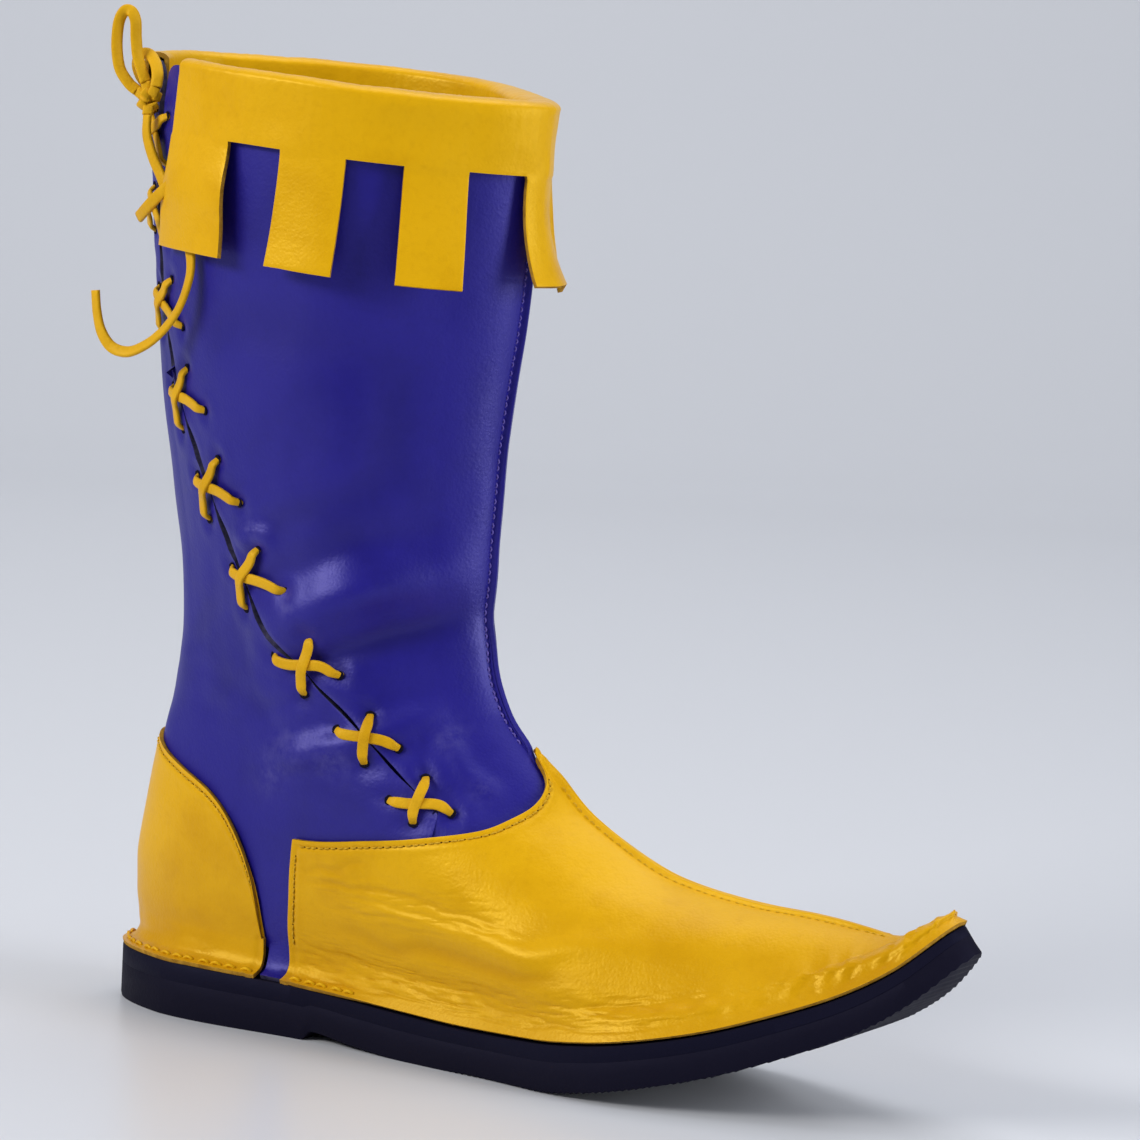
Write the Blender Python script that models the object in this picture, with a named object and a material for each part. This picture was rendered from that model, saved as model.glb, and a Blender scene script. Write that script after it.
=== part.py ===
"""Medieval boot for the right foot: pointed upturned toe, diagonal laced slit, tabbed cuff."""
import bpy
import bmesh
import numpy as np
from math import cos, pi, radians

# Axes: +X to the toe, +Y to the inner side of the foot, +Z up.
# The origin is on the floor under the middle of the heel. Sizes are in millimetres.
MM = 0.001

# Thicknesses and gaps
WALL = 2.2
OVERLAY = 1.4
OVERLAY_GAP = 0.5
GAP = 0.35
FLANGE = 1.8
INSOLE = 2.5
CUFF_LEATHER = 1.6
RIDGE_RATIO = 1.7
SIDE_RATIO = 1.08
HEEL_ROUND = 0.45

# Raised seam down the front of the shaft, and the ridge of the vamp that carries it on
FIN_RISE = 2.6
FIN_BASE_ANGLE = 0.095
FIN_TOP_ANGLE = 0.061
FIN_START = 95.0
FIN_START_OVER = 8.0
FIN_END = 276.0
FIN_END_OVER = 20.0
# Height and angle of the seam's middle, which leans to the inner side going up
FIN_MIDDLE = [(0, 0.0), (105, 0.0), (135, 0.10), (200, 0.20), (290, 0.27), (312, 0.28)]
RIDGE_START = 12.0
RIDGE_START_OVER = 14.0
RIDGE_FORWARD = 1.6
RIDGE_UP = 1.2

# Rim of the shaft, measured up from the sole: high at the back, lower at the front
RIM_BACK = 306.8
RIM_FRONT = 301.8
RIM_BACK_X = -56.0
RIM_LENGTH = 150.0

# Sole profile, a row per station from heel to tip: x_top, z_top, x_bottom, z_bottom
PROFILE = [
    (-54.0, 18.4, -54.0, 0.0),
    (-20.0, 18.6, -20.0, 0.0),
    (30.0, 17.8, 30.0, 0.0),
    (37.0, 17.4, 37.0, 0.0),
    (41.0, 17.2, 41.0, 3.4),
    (58.0, 16.4, 58.0, 1.5),
    (80.0, 15.5, 80.0, 0.0),
    (105.0, 14.9, 105.0, 0.0),
    (135.0, 15.9, 136.0, 0.0),
    (155.0, 18.2, 157.0, 2.8),
    (170.0, 20.8, 172.9, 6.3),
    (193.0, 26.2, 196.9, 12.8),
    (215.0, 33.8, 219.8, 21.5),
    (235.0, 42.4, 240.8, 31.2),
    (250.0, 51.6, 256.5, 42.1),
    (266.5, 67.4, 273.0, 59.0),
]

# Plan sections: height, how far back and forward, point of the front end, then half widths at
# five fractions of the length, five on the outer side and five on the inner side
FRACTIONS = (0.1, 0.3, 0.5, 0.7, 0.9)
SOLE_OUTLINE = (0, -54.0, 266.5, 0.5, 29.5, 31.7, 39.2, 45.8, 23.0, 29.5, 27.5, 34.5, 42.0, 19.0)
SECTIONS = [
    (12, -47.5, 243.0, 0.62, 20.5, 25.0, 32.0, 39.0, 21.5, 20.5, 21.5, 28.5, 36.5, 19.5),
    (20, -48.3, 229.5, 0.64, 21.0, 27.0, 33.0, 38.3, 20.0, 21.0, 23.5, 30.5, 36.5, 20.0),
    (30, -48.3, 208.5, 0.66, 21.0, 28.5, 33.0, 36.5, 20.0, 21.0, 26.0, 31.5, 36.0, 21.0),
    (40, -47.3, 181.0, 0.66, 20.5, 29.5, 33.0, 34.0, 19.5, 20.5, 28.0, 32.5, 34.5, 20.5),
    (50, -45.8, 154.5, 0.66, 19.8, 29.5, 33.0, 33.0, 19.5, 19.8, 28.5, 33.0, 33.5, 20.0),
    (60, -44.0, 137.0, 0.66, 19.0, 29.0, 33.0, 32.0, 18.5, 19.0, 28.5, 33.0, 32.5, 19.0),
    (70, -42.0, 121.5, 0.66, 18.2, 28.5, 33.5, 31.5, 17.0, 18.2, 28.5, 33.5, 31.5, 17.0),
    (80, -40.0, 111.0, 0.66, 17.2, 28.0, 33.5, 31.0, 16.0, 17.2, 28.0, 33.5, 31.0, 16.0),
    (90, -37.8, 101.0, 0.66, 16.5, 27.5, 33.5, 30.5, 14.5, 16.5, 27.5, 33.5, 31.0, 15.0),
    (100, -36.3, 92.3, 0.66, 16.5, 27.5, 34.0, 31.0, 14.0, 16.5, 27.5, 34.0, 31.0, 14.5),
    (115, -35.0, 86.0, 0.66, 17.0, 28.5, 35.0, 31.5, 14.5, 17.0, 28.5, 35.0, 31.5, 14.5),
    (135, -36.0, 83.6, 0.66, 18.5, 31.0, 37.0, 33.5, 15.5, 18.5, 31.0, 37.0, 33.5, 15.5),
    (165, -41.0, 83.8, 0.66, 20.5, 35.0, 41.0, 37.0, 17.0, 20.5, 35.0, 41.0, 37.0, 17.0),
    (200, -46.5, 86.0, 0.66, 23.0, 39.0, 45.0, 40.5, 18.5, 22.5, 38.5, 45.0, 40.5, 18.5),
    (240, -50.0, 89.8, 0.66, 27.0, 43.5, 48.5, 43.5, 20.0, 24.5, 41.5, 48.5, 43.5, 20.0),
    (280, -52.0, 93.5, 0.66, 30.0, 46.5, 51.0, 45.5, 21.0, 26.0, 43.5, 51.0, 45.5, 21.0),
    (312, -53.0, 96.5, 0.66, 30.5, 47.5, 52.0, 46.5, 21.5, 26.5, 44.5, 52.0, 46.5, 21.5),
]

# Turned out foot of the upper: inset from the sole edge, height, and the shares of its distance
# that an overlay lies outward and upward of it
TURN = [
    (0.8, 0.3, 0.0, 1.0),
    (0.8, 0.3 + FLANGE, 0.0, 1.0),
    (3.2, 2.4, 0.2, 1.0),
    (5.4, 4.4, 0.65, 0.75),
    (6.6, 7.6, 0.93, 0.35),
]
TURN_INNER_INSET = 9.2
TIP_INSET_RATIO = 1.6

# Slit line on the outer side: height and distance along the foot, from the instep up to the rim
SLIT = [
    (0, 84.0), (68, 84.0), (75, 76.0), (80, 69.5), (88, 60.0), (96, 51.0), (105, 39.5), (115, 27.0),
    (127, 15.0), (142, 5.0), (154, -2.0), (172, -11.5), (186, -18.8), (200, -26.0),
    (213, -30.5), (235, -35.8), (257, -37.5), (280, -36.5), (312, -32.0),
]
SLIT_END = 68.0
# Half opening of the slit: height and half gap
SLIT_GAP = [(68, 0.0), (76, 0.6), (95, 1.1), (200, 1.2), (260, 1.3), (312, 3.0)]

# Rows and columns of the upper
LEVELS = (12, 20, 30, 40, 50, 60, 68, 76, 85, 95, 107, 121, 136, 152, 168, 185, 203, 222, 248, 276)
REAR_LINES = (72.0, 58.0, 44.0, 30.0, 16.5, 14.0, 10.5, 5.0, -5.0, -18.0, -31.0, -41.0, -47.0)
REAR_LEVEL = 30.0
MIDDLE_LINE = 85.0
FRONT_STEPS = 12
VAMP_REAR_LINE = 30.0
COUNTER_FRONT_LINE = 16.5

# Upper edges of the overlays: angle in degrees and height of the vamp, x and height of the counter
VAMP_TOP = [(0, 90.0), (3.5, 85.0), (17, 77.5), (27.5, 72.5), (38.5, 68.5), (48.5, 65.0), (64, 61.0),
            (83.5, 55.5), (100, 51.0), (125, 48.0)]
COUNTER_TOP = [(-60, 75.0), (-45, 75.0), (-36, 73.0), (-31, 70.5), (-19.5, 66.0), (-8, 61.5), (0, 56.0),
               (6.7, 48.0), (11.5, 39.5), (14.3, 31.0), (16.5, 20.0), (30, 12.0)]
OVERLAY_LEVEL = 95
TOP_LINE_REACH = 1.2

# Cuff: heights below the rim, tab sizes, and how far the tabs stand off at their ends
BAND_DROP = 22.0
TAB_DROP = 60.5
FRONT_TAB_DROP = 57.5
INSIDE_DROP = 28.0
CUFF_CLEAR = 0.9
INSIDE_CLEAR = 0.9
TAB_STAND_OFF = 5.2
NEAR_TAB_STAND_OFF = 8.0
NEAR_END_LEAN_DEG = 8.7
FRONT_TAB_STAND_OFF = 6.0
REAR_TAB_STAND_OFF = 0.8
TAB_WIDTH = 21.5
NOTCH_WIDTH = 19.0
CUFF_LEVEL = 285.0
OUTER_TAB_EDGES = (-15.0, -37.0, -54.0, -68.0, -85.5, -101.5)
NEAR_END_FROM_SLIT = 11.5
FAR_END_FROM_SLIT = 15.0
TAB_BEND = 1.3
NEAR_TAB_BEND = 0.55
REAR_FROM = 2.2
REAR_CELLS_FROM = 2.3
FRONT_TAB_ANGLE = 0.3
FOLD_RISE = 2.2
FOLD_SHOULDER = 0.3
FOLD_SHOULDER_INSIDE = 0.1

# Insole: inset from the sole's edge, and shortened at the tip
INSOLE_INSET = 11.5
INSOLE_TIP_CUT = 6.0

# Thong lace; crossings give x at the slit, height, half width and half length
THONG_WIDTH = 4.0
THONG_THICK = 1.8
THONG_LIFT = 0.6
CORD_RADIUS = 1.6
ROUTE_STEPS = 12
CROSSINGS = [
    (-36.4, 282.0, 6.5, 8.5),
    (-37.5, 256.0, 7.0, 8.5),
    (-33.0, 224.0, 8.0, 8.5),
    (-22.6, 193.0, 8.3, 8.6),
    (-7.2, 164.0, 8.6, 8.6),
    (8.5, 136.8, 9.0, 8.7),
    (33.5, 109.8, 9.2, 9.2),
    (57.0, 90.8, 8.8, 8.5),
    (77.8, 73.2, 8.0, 7.6),
]
KNOT = (-37.5, -35.8, 311.4)
KNOT_RADII = (3.2, 3.4, 4.4)
CORDS = {
    "lace_loop_tall": [
        (-41.4, -37.8, 314.8), (-44.2, -38.6, 317.0), (-47.5, -39.4, 321.6), (-48.8, -39.8, 327.9),
        (-48.9, -39.8, 334.2), (-48.2, -39.6, 338.6), (-46.5, -39.2, 341.2), (-44.4, -38.5, 341.0),
        (-43.1, -37.8, 338.0), (-43.0, -37.2, 332.2), (-42.2, -36.8, 325.8), (-40.2, -36.8, 321.0),
        (-38.6, -36.8, 317.8),
    ],
    "lace_loop_small": [
        (-40.4, -33.4, 316.6), (-44.0, -32.4, 319.8), (-45.6, -32.0, 323.4), (-44.4, -32.0, 326.6),
        (-40.5, -32.8, 327.0), (-36.8, -34.2, 324.2), (-34.5, -36.0, 320.3), (-33.9, -37.5, 316.4),
    ],
    "lace_end_short": [
        (-12.6, -46.9, 290.6), (-15.6, -45.9, 289.0), (-18.8, -45.0, 286.9), (-23.2, -44.8, 283.2),
        (-27.6, -44.4, 279.5), (-32.0, -42.8, 276.0), (-37.2, -39.5, 272.5),
    ],
    "lace_end_long": [
        (-35.6, -39.4, 307.0), (-35.2, -39.8, 300.5), (-32.6, -39.8, 293.5), (-29.0, -39.6, 287.2),
        (-24.7, -41.0, 281.2), (-20.1, -42.6, 275.4), (-15.6, -44.6, 269.5), (-11.6, -46.2, 264),
        (-10.2, -47.0, 257.5), (-11.2, -47.4, 251), (-14.0, -47.0, 244.5), (-18.1, -46.0, 239.2),
        (-23.2, -45.2, 234.2), (-28.7, -45.0, 230.2), (-35.2, -45.4, 227.4), (-41.6, -45.8, 228.4),
        (-46.0, -46.0, 233.2), (-48.2, -46.0, 239.8), (-49.2, -46.0, 247.1),
    ],
}


# Curves and sections

def smooth_line(xs, ys, x):
    """Monotone cubic through table points; ys may hold several columns."""
    xs = np.asarray(xs, float)
    ys = np.asarray(ys, float)
    x = np.clip(x, xs[0], xs[-1])
    gap = np.diff(xs)
    rise = (np.diff(ys, axis=0).T / gap).T
    slope = np.zeros_like(ys)
    slope[0] = rise[0]
    slope[-1] = rise[-1]
    for i in range(1, len(xs) - 1):
        same = rise[i - 1] * rise[i] > 0
        total = np.where(same, rise[i - 1] + rise[i], 1.0)
        slope[i] = np.where(same, 2 * rise[i - 1] * rise[i] / total, 0.0)
    k = min(max(int(np.searchsorted(xs, x, side="right")) - 1, 0), len(gap) - 1)
    s = (x - xs[k]) / gap[k]
    start = (1 + 2 * s) * (1 - s) ** 2 * ys[k] + s * (1 - s) ** 2 * gap[k] * slope[k]
    return start + s * s * (3 - 2 * s) * ys[k + 1] + s * s * (s - 1) * gap[k] * slope[k + 1]


def column(table, i):
    return [row[i] for row in table]


def sole_top(x):
    return float(smooth_line(column(PROFILE, 0), column(PROFILE, 1), x))


def section_at(height):
    """Section row at any height, by smooth change of every column."""
    return smooth_line(column(SECTIONS, 0), [row[1:] for row in SECTIONS], height)


def grown(section, out):
    """Section moved outward by a distance; negative moves inward."""
    row = np.array(section, float)
    row[0] -= out
    row[1] += out * RIDGE_RATIO
    row[3:] += out * SIDE_RATIO
    return row


def outline_inset(inset):
    row = np.array(SOLE_OUTLINE[1:], float)
    row[0] += inset
    row[1] -= inset * TIP_INSET_RATIO
    row[3:] -= inset
    return row


def plan_point(section, angle):
    """Point of a section: angle 0 at the front, negative on the outer side, pi at the back."""
    t = (1 + cos(angle)) / 2
    back, front, point = section[0], section[1], section[2]
    widths = section[3:8] if angle < 0 else section[8:13]
    shares = np.array(FRACTIONS)
    fullness = widths / (shares ** HEEL_ROUND * (1 - shares) ** point)
    half = smooth_line(FRACTIONS, fullness, t) * t ** HEEL_ROUND * max(1 - t, 0.0) ** point
    return back + (front - back) * t, -half if angle < 0 else half


def angle_of(section, x):
    t = min(max((x - section[0]) / (section[1] - section[0]), 0.0), 1.0)
    return float(np.arccos(2 * t - 1))


def rim_height(x):
    share = min(max((x - RIM_BACK_X) / RIM_LENGTH, 0.0), 1.0)
    return RIM_BACK + (RIM_FRONT - RIM_BACK) * share


def skin(angle, height, out=0.0):
    """Point of the upper's outer face, or of a face lying a distance outside it."""
    x, y = plan_point(grown(section_at(height), out), angle)
    return x, y, sole_top(x) + height


def turn_point(angle, row, out=0.0):
    """Point of the turned out foot of the upper, with an overlay lying a distance on it."""
    inset, height, out_share, up_share = TURN[row]
    x, y = plan_point(outline_inset(inset - out_share * out), angle)
    return x, y, sole_top(x) + height + up_share * out


def skin_row(angle, row, out=0.0):
    """Rows count from the turned out foot up through the levels to the rim."""
    if row < len(TURN):
        return turn_point(angle, row, out)
    level = row - len(TURN)
    if level < len(LEVELS):
        return skin(angle, LEVELS[level], out)
    x, y = plan_point(section_at(RIM_BACK), angle)
    return skin(angle, rim_height(x), out)


def row_height(row):
    if row < len(TURN):
        return TURN[row][1]
    level = row - len(TURN)
    return LEVELS[level] if level < len(LEVELS) else 0.5 * (RIM_BACK + RIM_FRONT)


def row_section(row):
    if row < len(TURN):
        return outline_inset(TURN[row][0])
    return section_at(row_height(row))


# Column angles shared by the upper, the vamp and the heel counter

def middle_angle(row, slit_side):
    section = row_section(row)
    x = smooth_line(column(SLIT, 0), column(SLIT, 1), row_height(row)) if slit_side else MIDDLE_LINE
    if not slit_side:
        x = min(x, section[0] + 0.55 * (section[1] - section[0]))
    return angle_of(section, float(x))


def rear_shares():
    section = section_at(REAR_LEVEL)
    start = angle_of(section, MIDDLE_LINE)
    return [(angle_of(section, x) - start) / (pi - start) for x in REAR_LINES]


def column_angles(row):
    """Angles once round: slit, forward on the outer side, front, inner side, back, up to the slit."""
    slit = middle_angle(row, True)
    inner = middle_angle(row, False)
    middle = float(smooth_line(column(FIN_MIDDLE, 0), column(FIN_MIDDLE, 1), row_height(row)))
    fin = [middle + a for a in (-FIN_BASE_ANGLE, -FIN_TOP_ANGLE, FIN_TOP_ANGLE, FIN_BASE_ANGLE)]
    front_out = [-slit + (slit + fin[0]) * i / FRONT_STEPS for i in range(FRONT_STEPS)]
    front_in = [fin[3] + (inner - fin[3]) * i / FRONT_STEPS for i in range(1, FRONT_STEPS + 1)]
    rear_in = [inner + (pi - inner) * f for f in rear_shares()] + [pi]
    rear_out = [-(slit + (pi - slit) * f) for f in reversed(rear_shares())] + [-slit]
    return front_out + fin + front_in + rear_in + rear_out


FIN_FIRST = FRONT_STEPS
BACK_COLUMN = FRONT_STEPS + 4 + FRONT_STEPS + len(REAR_LINES)
LAST_COLUMN = BACK_COLUMN + len(REAR_LINES) + 1
VAMP_REAR_OUT = LAST_COLUMN - 1 - REAR_LINES.index(VAMP_REAR_LINE)
VAMP_REAR_IN = BACK_COLUMN - len(REAR_LINES) + REAR_LINES.index(VAMP_REAR_LINE)
COUNTER_OUT = LAST_COLUMN - 1 - REAR_LINES.index(COUNTER_FRONT_LINE)
COUNTER_IN = BACK_COLUMN - len(REAR_LINES) + REAR_LINES.index(COUNTER_FRONT_LINE)
ROWS = len(TURN) + len(LEVELS) + 1
SLIT_ROW = len(TURN) + LEVELS.index(int(SLIT_END))


def fin_lift(col, height):
    """Raised seam down the front of the shaft, fading out under the cuff."""
    if col not in (FIN_FIRST + 1, FIN_FIRST + 2):
        return 0.0
    start = min(max((height - FIN_START) / FIN_START_OVER, 0.0), 1.0)
    end = min(max((FIN_END - height) / FIN_END_OVER, 0.0), 1.0)
    return FIN_RISE * start * end


def slit_shift(col, row, point, angle):
    """Opens the slit by moving its two edges apart along the foot."""
    if row <= SLIT_ROW or col not in (0, LAST_COLUMN):
        return point
    height = row_height(row)
    half = float(smooth_line(column(SLIT_GAP, 0), column(SLIT_GAP, 1), height))
    step = 0.02 if col == 0 else -0.02
    near = np.array(skin_row(angle + step, row))
    here = np.array(skin_row(angle, row))
    move = (near - here) / np.linalg.norm(near - here) * half
    return tuple(np.array(point) + move)


# Mesh helpers

def material(name, colour, roughness):
    made = bpy.data.materials.new(name)
    made.use_nodes = True
    shader = made.node_tree.nodes["Principled BSDF"]
    shader.inputs["Base Color"].default_value = (*colour, 1.0)
    shader.inputs["Roughness"].default_value = roughness
    return made


def add_object(name, points, faces, look):
    mesh = bpy.data.meshes.new(name)
    mesh.from_pydata([(x * MM, y * MM, z * MM) for x, y, z in points], [], faces)
    made = bmesh.new()
    made.from_mesh(mesh)
    bmesh.ops.recalc_face_normals(made, faces=made.faces)
    made.to_mesh(mesh)
    made.free()
    mesh.materials.append(look)
    part = bpy.data.objects.new(name, mesh)
    bpy.context.scene.collection.objects.link(part)
    return part


def shell(name, outside, inside, keep, same, look):
    """Closed sheet between two grids of points; cells left out make openings and edges."""
    index = {}
    points = []
    for key in outside:
        main = same(key)
        if main not in index:
            index[main] = len(points)
            points.append(outside[main])
    count = len(points)
    points += [inside[key] for key in sorted(index, key=index.get)]
    faces = []
    edges = set()
    for r, c in keep:
        corners = [index[same(k)] for k in ((r, c), (r, c + 1), (r + 1, c + 1), (r + 1, c))]
        for tri in ((corners[0], corners[1], corners[2]), (corners[0], corners[2], corners[3])):
            if len(set(tri)) < 3:
                continue
            faces.append(tri)
            faces.append(tuple(i + count for i in reversed(tri)))
            edges.update((tri[i], tri[(i + 1) % 3]) for i in range(3))
    for a, b in sorted(edges):
        if (b, a) not in edges:
            faces.append((b, a, a + count))
            faces.append((b, a + count, b + count))
    return add_object(name, points, faces, look)


def slab(name, section, stations, low, high, look):
    """Solid between two heights over a plan section, with a ring of side points."""
    angles = [pi * i / stations for i in range(1, stations)]
    ring = [0.0] + angles + [pi] + [-a for a in reversed(angles)]
    points = []
    for face in (low, high):
        for a in ring:
            x, y = plan_point(section, a)
            points.append(face(x, y))
    n = len(ring)
    faces = [(i, (i + 1) % n, n + (i + 1) % n, n + i) for i in range(n)]
    for base in (0, n):
        faces.append((base, base + 1, base + n - 1))
        faces += [(base + i, base + i + 1, base + n - i - 1, base + n - i) for i in range(1, stations - 1)]
        faces.append((base + stations - 1, base + stations, base + stations + 1))
    return add_object(name, points, faces, look)


# Pieces

def make_sole(look):
    tops = column(PROFILE, 0)

    def bottom(x, y):
        ends = smooth_line(tops, [row[2:] for row in PROFILE], x)
        return float(ends[0]), y, max(float(ends[1]), 0.0)

    def top(x, y):
        return x, y, sole_top(x)

    return slab("outsole", np.array(SOLE_OUTLINE[1:]), 54, bottom, top, look)


def make_insole(look):
    section = outline_inset(INSOLE_INSET)
    section[1] -= INSOLE_TIP_CUT

    def low(x, y):
        return x, y, sole_top(x) + GAP

    def high(x, y):
        return x, y, sole_top(x) + GAP + INSOLE

    return slab("insole", section, 30, low, high, look)


def make_upper(look):
    outside = {}
    inside = {}
    for r in range(ROWS):
        angles = column_angles(r)
        for c, a in enumerate(angles):
            x, y, z = skin_row(a, r)
            lift = fin_lift(c, row_height(r))
            outside[r, c] = slit_shift(c, r, (x + lift, y, z), a)
            if r < len(TURN):
                x, y = plan_point(outline_inset(TURN_INNER_INSET), a)
                inside[r, c] = (x, y, sole_top(x) + TURN[r][1])
            else:
                inside[r, c] = slit_shift(c, r, skin_row(a, r, -WALL), a)
    keep = [(r, c) for r in range(ROWS - 1) for c in range(LAST_COLUMN)]

    def same(key):
        return (key[0], 0) if key[1] == LAST_COLUMN and key[0] <= SLIT_ROW else key

    return shell("upper", outside, inside, keep, same, look)


def overlay(name, columns, top_of, ridge, look):
    """Leather laid on the upper from its turned out edge up to a top line, sharing its grid."""
    first, last = 1, len(TURN) + LEVELS.index(OVERLAY_LEVEL)
    outside = {}
    inside = {}
    limit = {}
    for r in range(first, last + 1):
        angles = column_angles(r)
        for i, c in enumerate(columns):
            a = angles[c]
            out = OVERLAY_GAP + OVERLAY
            limit[r, i] = False
            if row_height(r) > top_of(a, r) - TOP_LINE_REACH:
                a, height, limit[r, i] = top_angle(c, top_of)
                inner = skin(a, height, OVERLAY_GAP)
                outer = skin(a, height, out)
            else:
                height = row_height(r)
                inner = skin_row(a, r, OVERLAY_GAP)
                outer = skin_row(a, r, out)
            if ridge and c in (FIN_FIRST + 1, FIN_FIRST + 2) and height > RIDGE_START:
                share = min((height - RIDGE_START) / RIDGE_START_OVER, 1.0)
                outer = (outer[0] + RIDGE_FORWARD * share, outer[1], outer[2] + RIDGE_UP * share)
            outside[r, i] = outer
            inside[r, i] = inner
    lowest = {}
    for r in range(last, first - 1, -1):
        for i in range(len(columns)):
            if limit[r, i]:
                lowest[i] = r

    def same(key):
        r, i = key
        return (lowest[i], i) if limit[r, i] else key

    cells = len(columns) - 1
    keep = [(r, i) for r in range(first, last) for i in range(cells)]
    return shell(name, outside, inside, keep, same, look)


def top_angle(c, top_of):
    """Where a grid column meets an overlay's top line."""
    low, high = len(TURN), len(TURN) + LEVELS.index(OVERLAY_LEVEL)
    for r in range(low, high + 1):
        a = column_angles(r)[c]
        if row_height(r) > top_of(a, r) - TOP_LINE_REACH:
            before = column_angles(max(r - 1, low))[c]
            h0, h1 = row_height(max(r - 1, low)), row_height(r)
            gap0 = top_of(before, max(r - 1, low)) - h0
            gap1 = top_of(a, r) - h1
            share = 1.0 if gap1 >= 0 or gap0 == gap1 else min(gap0 / (gap0 - gap1), 1.0)
            return before + (a - before) * share, h0 + (h1 - h0) * share, True
    return a, row_height(high), True


def vamp_top(a, row):
    return float(smooth_line(column(VAMP_TOP, 0), column(VAMP_TOP, 1), abs(a) / radians(1)))


def counter_top(a, row):
    x, y = plan_point(row_section(row), a)
    return float(smooth_line(column(COUNTER_TOP, 0), column(COUNTER_TOP, 1), x))


def cuff_edges():
    """Angles of the tab edges once round, from the slit's front side to its back side."""
    section = section_at(CUFF_LEVEL)
    slit = angle_of(section, float(smooth_line(column(SLIT, 0), column(SLIT, 1), CUFF_LEVEL)))
    angles = np.linspace(-slit, 2 * pi - slit, 721)
    ring = np.array([plan_point(section, a if a <= pi else a - 2 * pi) for a in angles])
    run = np.concatenate([[0], np.cumsum(np.linalg.norm(np.diff(ring, axis=0), axis=1))])

    def run_at(a):
        return float(np.interp(a, angles, run))

    edges = [NEAR_END_FROM_SLIT] + [run_at(radians(a)) for a in reversed(OUTER_TAB_EDGES)]
    end = run[-1] - FAR_END_FROM_SLIT
    left = end - edges[-1] - TAB_WIDTH
    pairs = round(left / (TAB_WIDTH + NOTCH_WIDTH))
    fit = left / (pairs * (TAB_WIDTH + NOTCH_WIDTH))
    edges.append(edges[-1] + TAB_WIDTH)
    for _ in range(pairs):
        edges.append(edges[-1] + NOTCH_WIDTH * fit)
        edges.append(edges[-1] + TAB_WIDTH * fit)
    return [float(np.interp(e, run, angles)) for e in edges]


def make_cuff(look):
    edges = cuff_edges()
    angles = []
    tab = []
    for i in range(len(edges) - 1):
        cells = 3 if abs(edges[i]) > REAR_CELLS_FROM else 2
        span = [edges[i] + (edges[i + 1] - edges[i]) * k / cells for k in range(cells)]
        if edges[i] < 0 < edges[i + 1]:
            span = [edges[i], 0.5 * edges[i], 0.0, 0.5 * edges[i + 1]]
        angles += span
        hangs = i % 2 == 0 and i < len(edges) - 2
        tab += [hangs] * len(span)
    angles.append(edges[-1])
    front_tab = [i for i in range(len(angles) - 1)
                 if angles[i] < FRONT_TAB_ANGLE and angles[i + 1] > -FRONT_TAB_ANGLE]
    outside = {}
    inside = {}
    for c, raw in enumerate(angles):
        a = raw if raw <= pi else raw - 2 * pi
        x, y = plan_point(section_at(CUFF_LEVEL), a)
        rim = rim_height(x)
        stand = TAB_STAND_OFF
        tab_drop = TAB_DROP
        bend = TAB_BEND
        if abs(a) > REAR_FROM:
            stand = REAR_TAB_STAND_OFF
        lean = 0.0
        if raw <= edges[1]:
            within = (raw - edges[0]) / (edges[1] - edges[0])
            stand = NEAR_TAB_STAND_OFF
            bend = NEAR_TAB_BEND
            lean = radians(NEAR_END_LEAN_DEG) * (1 - within)
        if c in front_tab or c - 1 in front_tab:
            stand = FRONT_TAB_STAND_OFF
            tab_drop = FRONT_TAB_DROP
        rows = []
        for share in (1.0, 0.6, 0.3, 0.0):
            drop = BAND_DROP + (tab_drop - BAND_DROP) * share
            off = CUFF_CLEAR + stand * share ** bend
            rows.append((a + lean * (1 - drop / tab_drop), off + CUFF_LEATHER, off, -drop, -drop))
        middle = BAND_DROP * 0.5
        a_middle = a + lean * (1 - middle / tab_drop)
        a_top = a + lean
        rows.append((a_middle, CUFF_CLEAR + CUFF_LEATHER, CUFF_CLEAR, -middle, -middle))
        rows.append((a_top, CUFF_CLEAR + CUFF_LEATHER, CUFF_CLEAR, FOLD_SHOULDER, FOLD_SHOULDER_INSIDE))
        rows.append((a_top, -WALL / 2, -WALL / 2, FOLD_RISE, GAP))
        inner = -WALL - INSIDE_CLEAR
        rows.append((a_top, inner - CUFF_LEATHER, inner, FOLD_SHOULDER, FOLD_SHOULDER_INSIDE))
        rows.append((a_top, inner - CUFF_LEATHER, inner, -INSIDE_DROP * 0.5, -INSIDE_DROP * 0.5))
        rows.append((a_top, inner - CUFF_LEATHER, inner, -INSIDE_DROP, -INSIDE_DROP))
        for r, (angle, far, near, up_far, up_near) in enumerate(rows):
            outside[r, c] = skin(angle, rim + up_far, far)
            inside[r, c] = skin(angle, rim + up_near, near)
    keep = []
    for r in range(9):
        for c in range(len(angles) - 1):
            if r >= 3 or tab[c]:
                keep.append((r, c))
    return shell("cuff", outside, inside, keep, lambda key: key, look)


def lace_frame(x, height):
    """Place, outward way, way up the slit and way across it, on the outer side."""
    angle = -angle_of(section_at(height), x)
    here = np.array(skin(angle, height))
    ahead = np.array(skin(angle + 0.02, height)) - here
    above = np.array(skin(angle, height + 1.0)) - here
    out = np.cross(ahead, above)
    out /= np.linalg.norm(out)
    xs = [float(smooth_line(column(SLIT, 0), column(SLIT, 1), height + s)) for s in (-3.0, 3.0)]
    ends = []
    for s, sx in zip((-3.0, 3.0), xs):
        ends.append(np.array(skin(-angle_of(section_at(height + s), sx), height + s)))
    up = ends[1] - ends[0]
    up -= out * np.dot(up, out)
    up /= np.linalg.norm(up)
    return here, out, up, np.cross(up, out)


def surface_lift(point, out):
    """Distance along a direction from a point to the upper's outer face."""
    best = 0.0
    for _ in range(6):
        probe = point + out * best
        height = probe[2] - sole_top(probe[0])
        section = section_at(height)
        inner = plan_point(section, -angle_of(section, probe[0]))[1]
        best += (probe[1] - inner) * abs(out[1])
    return best


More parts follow.
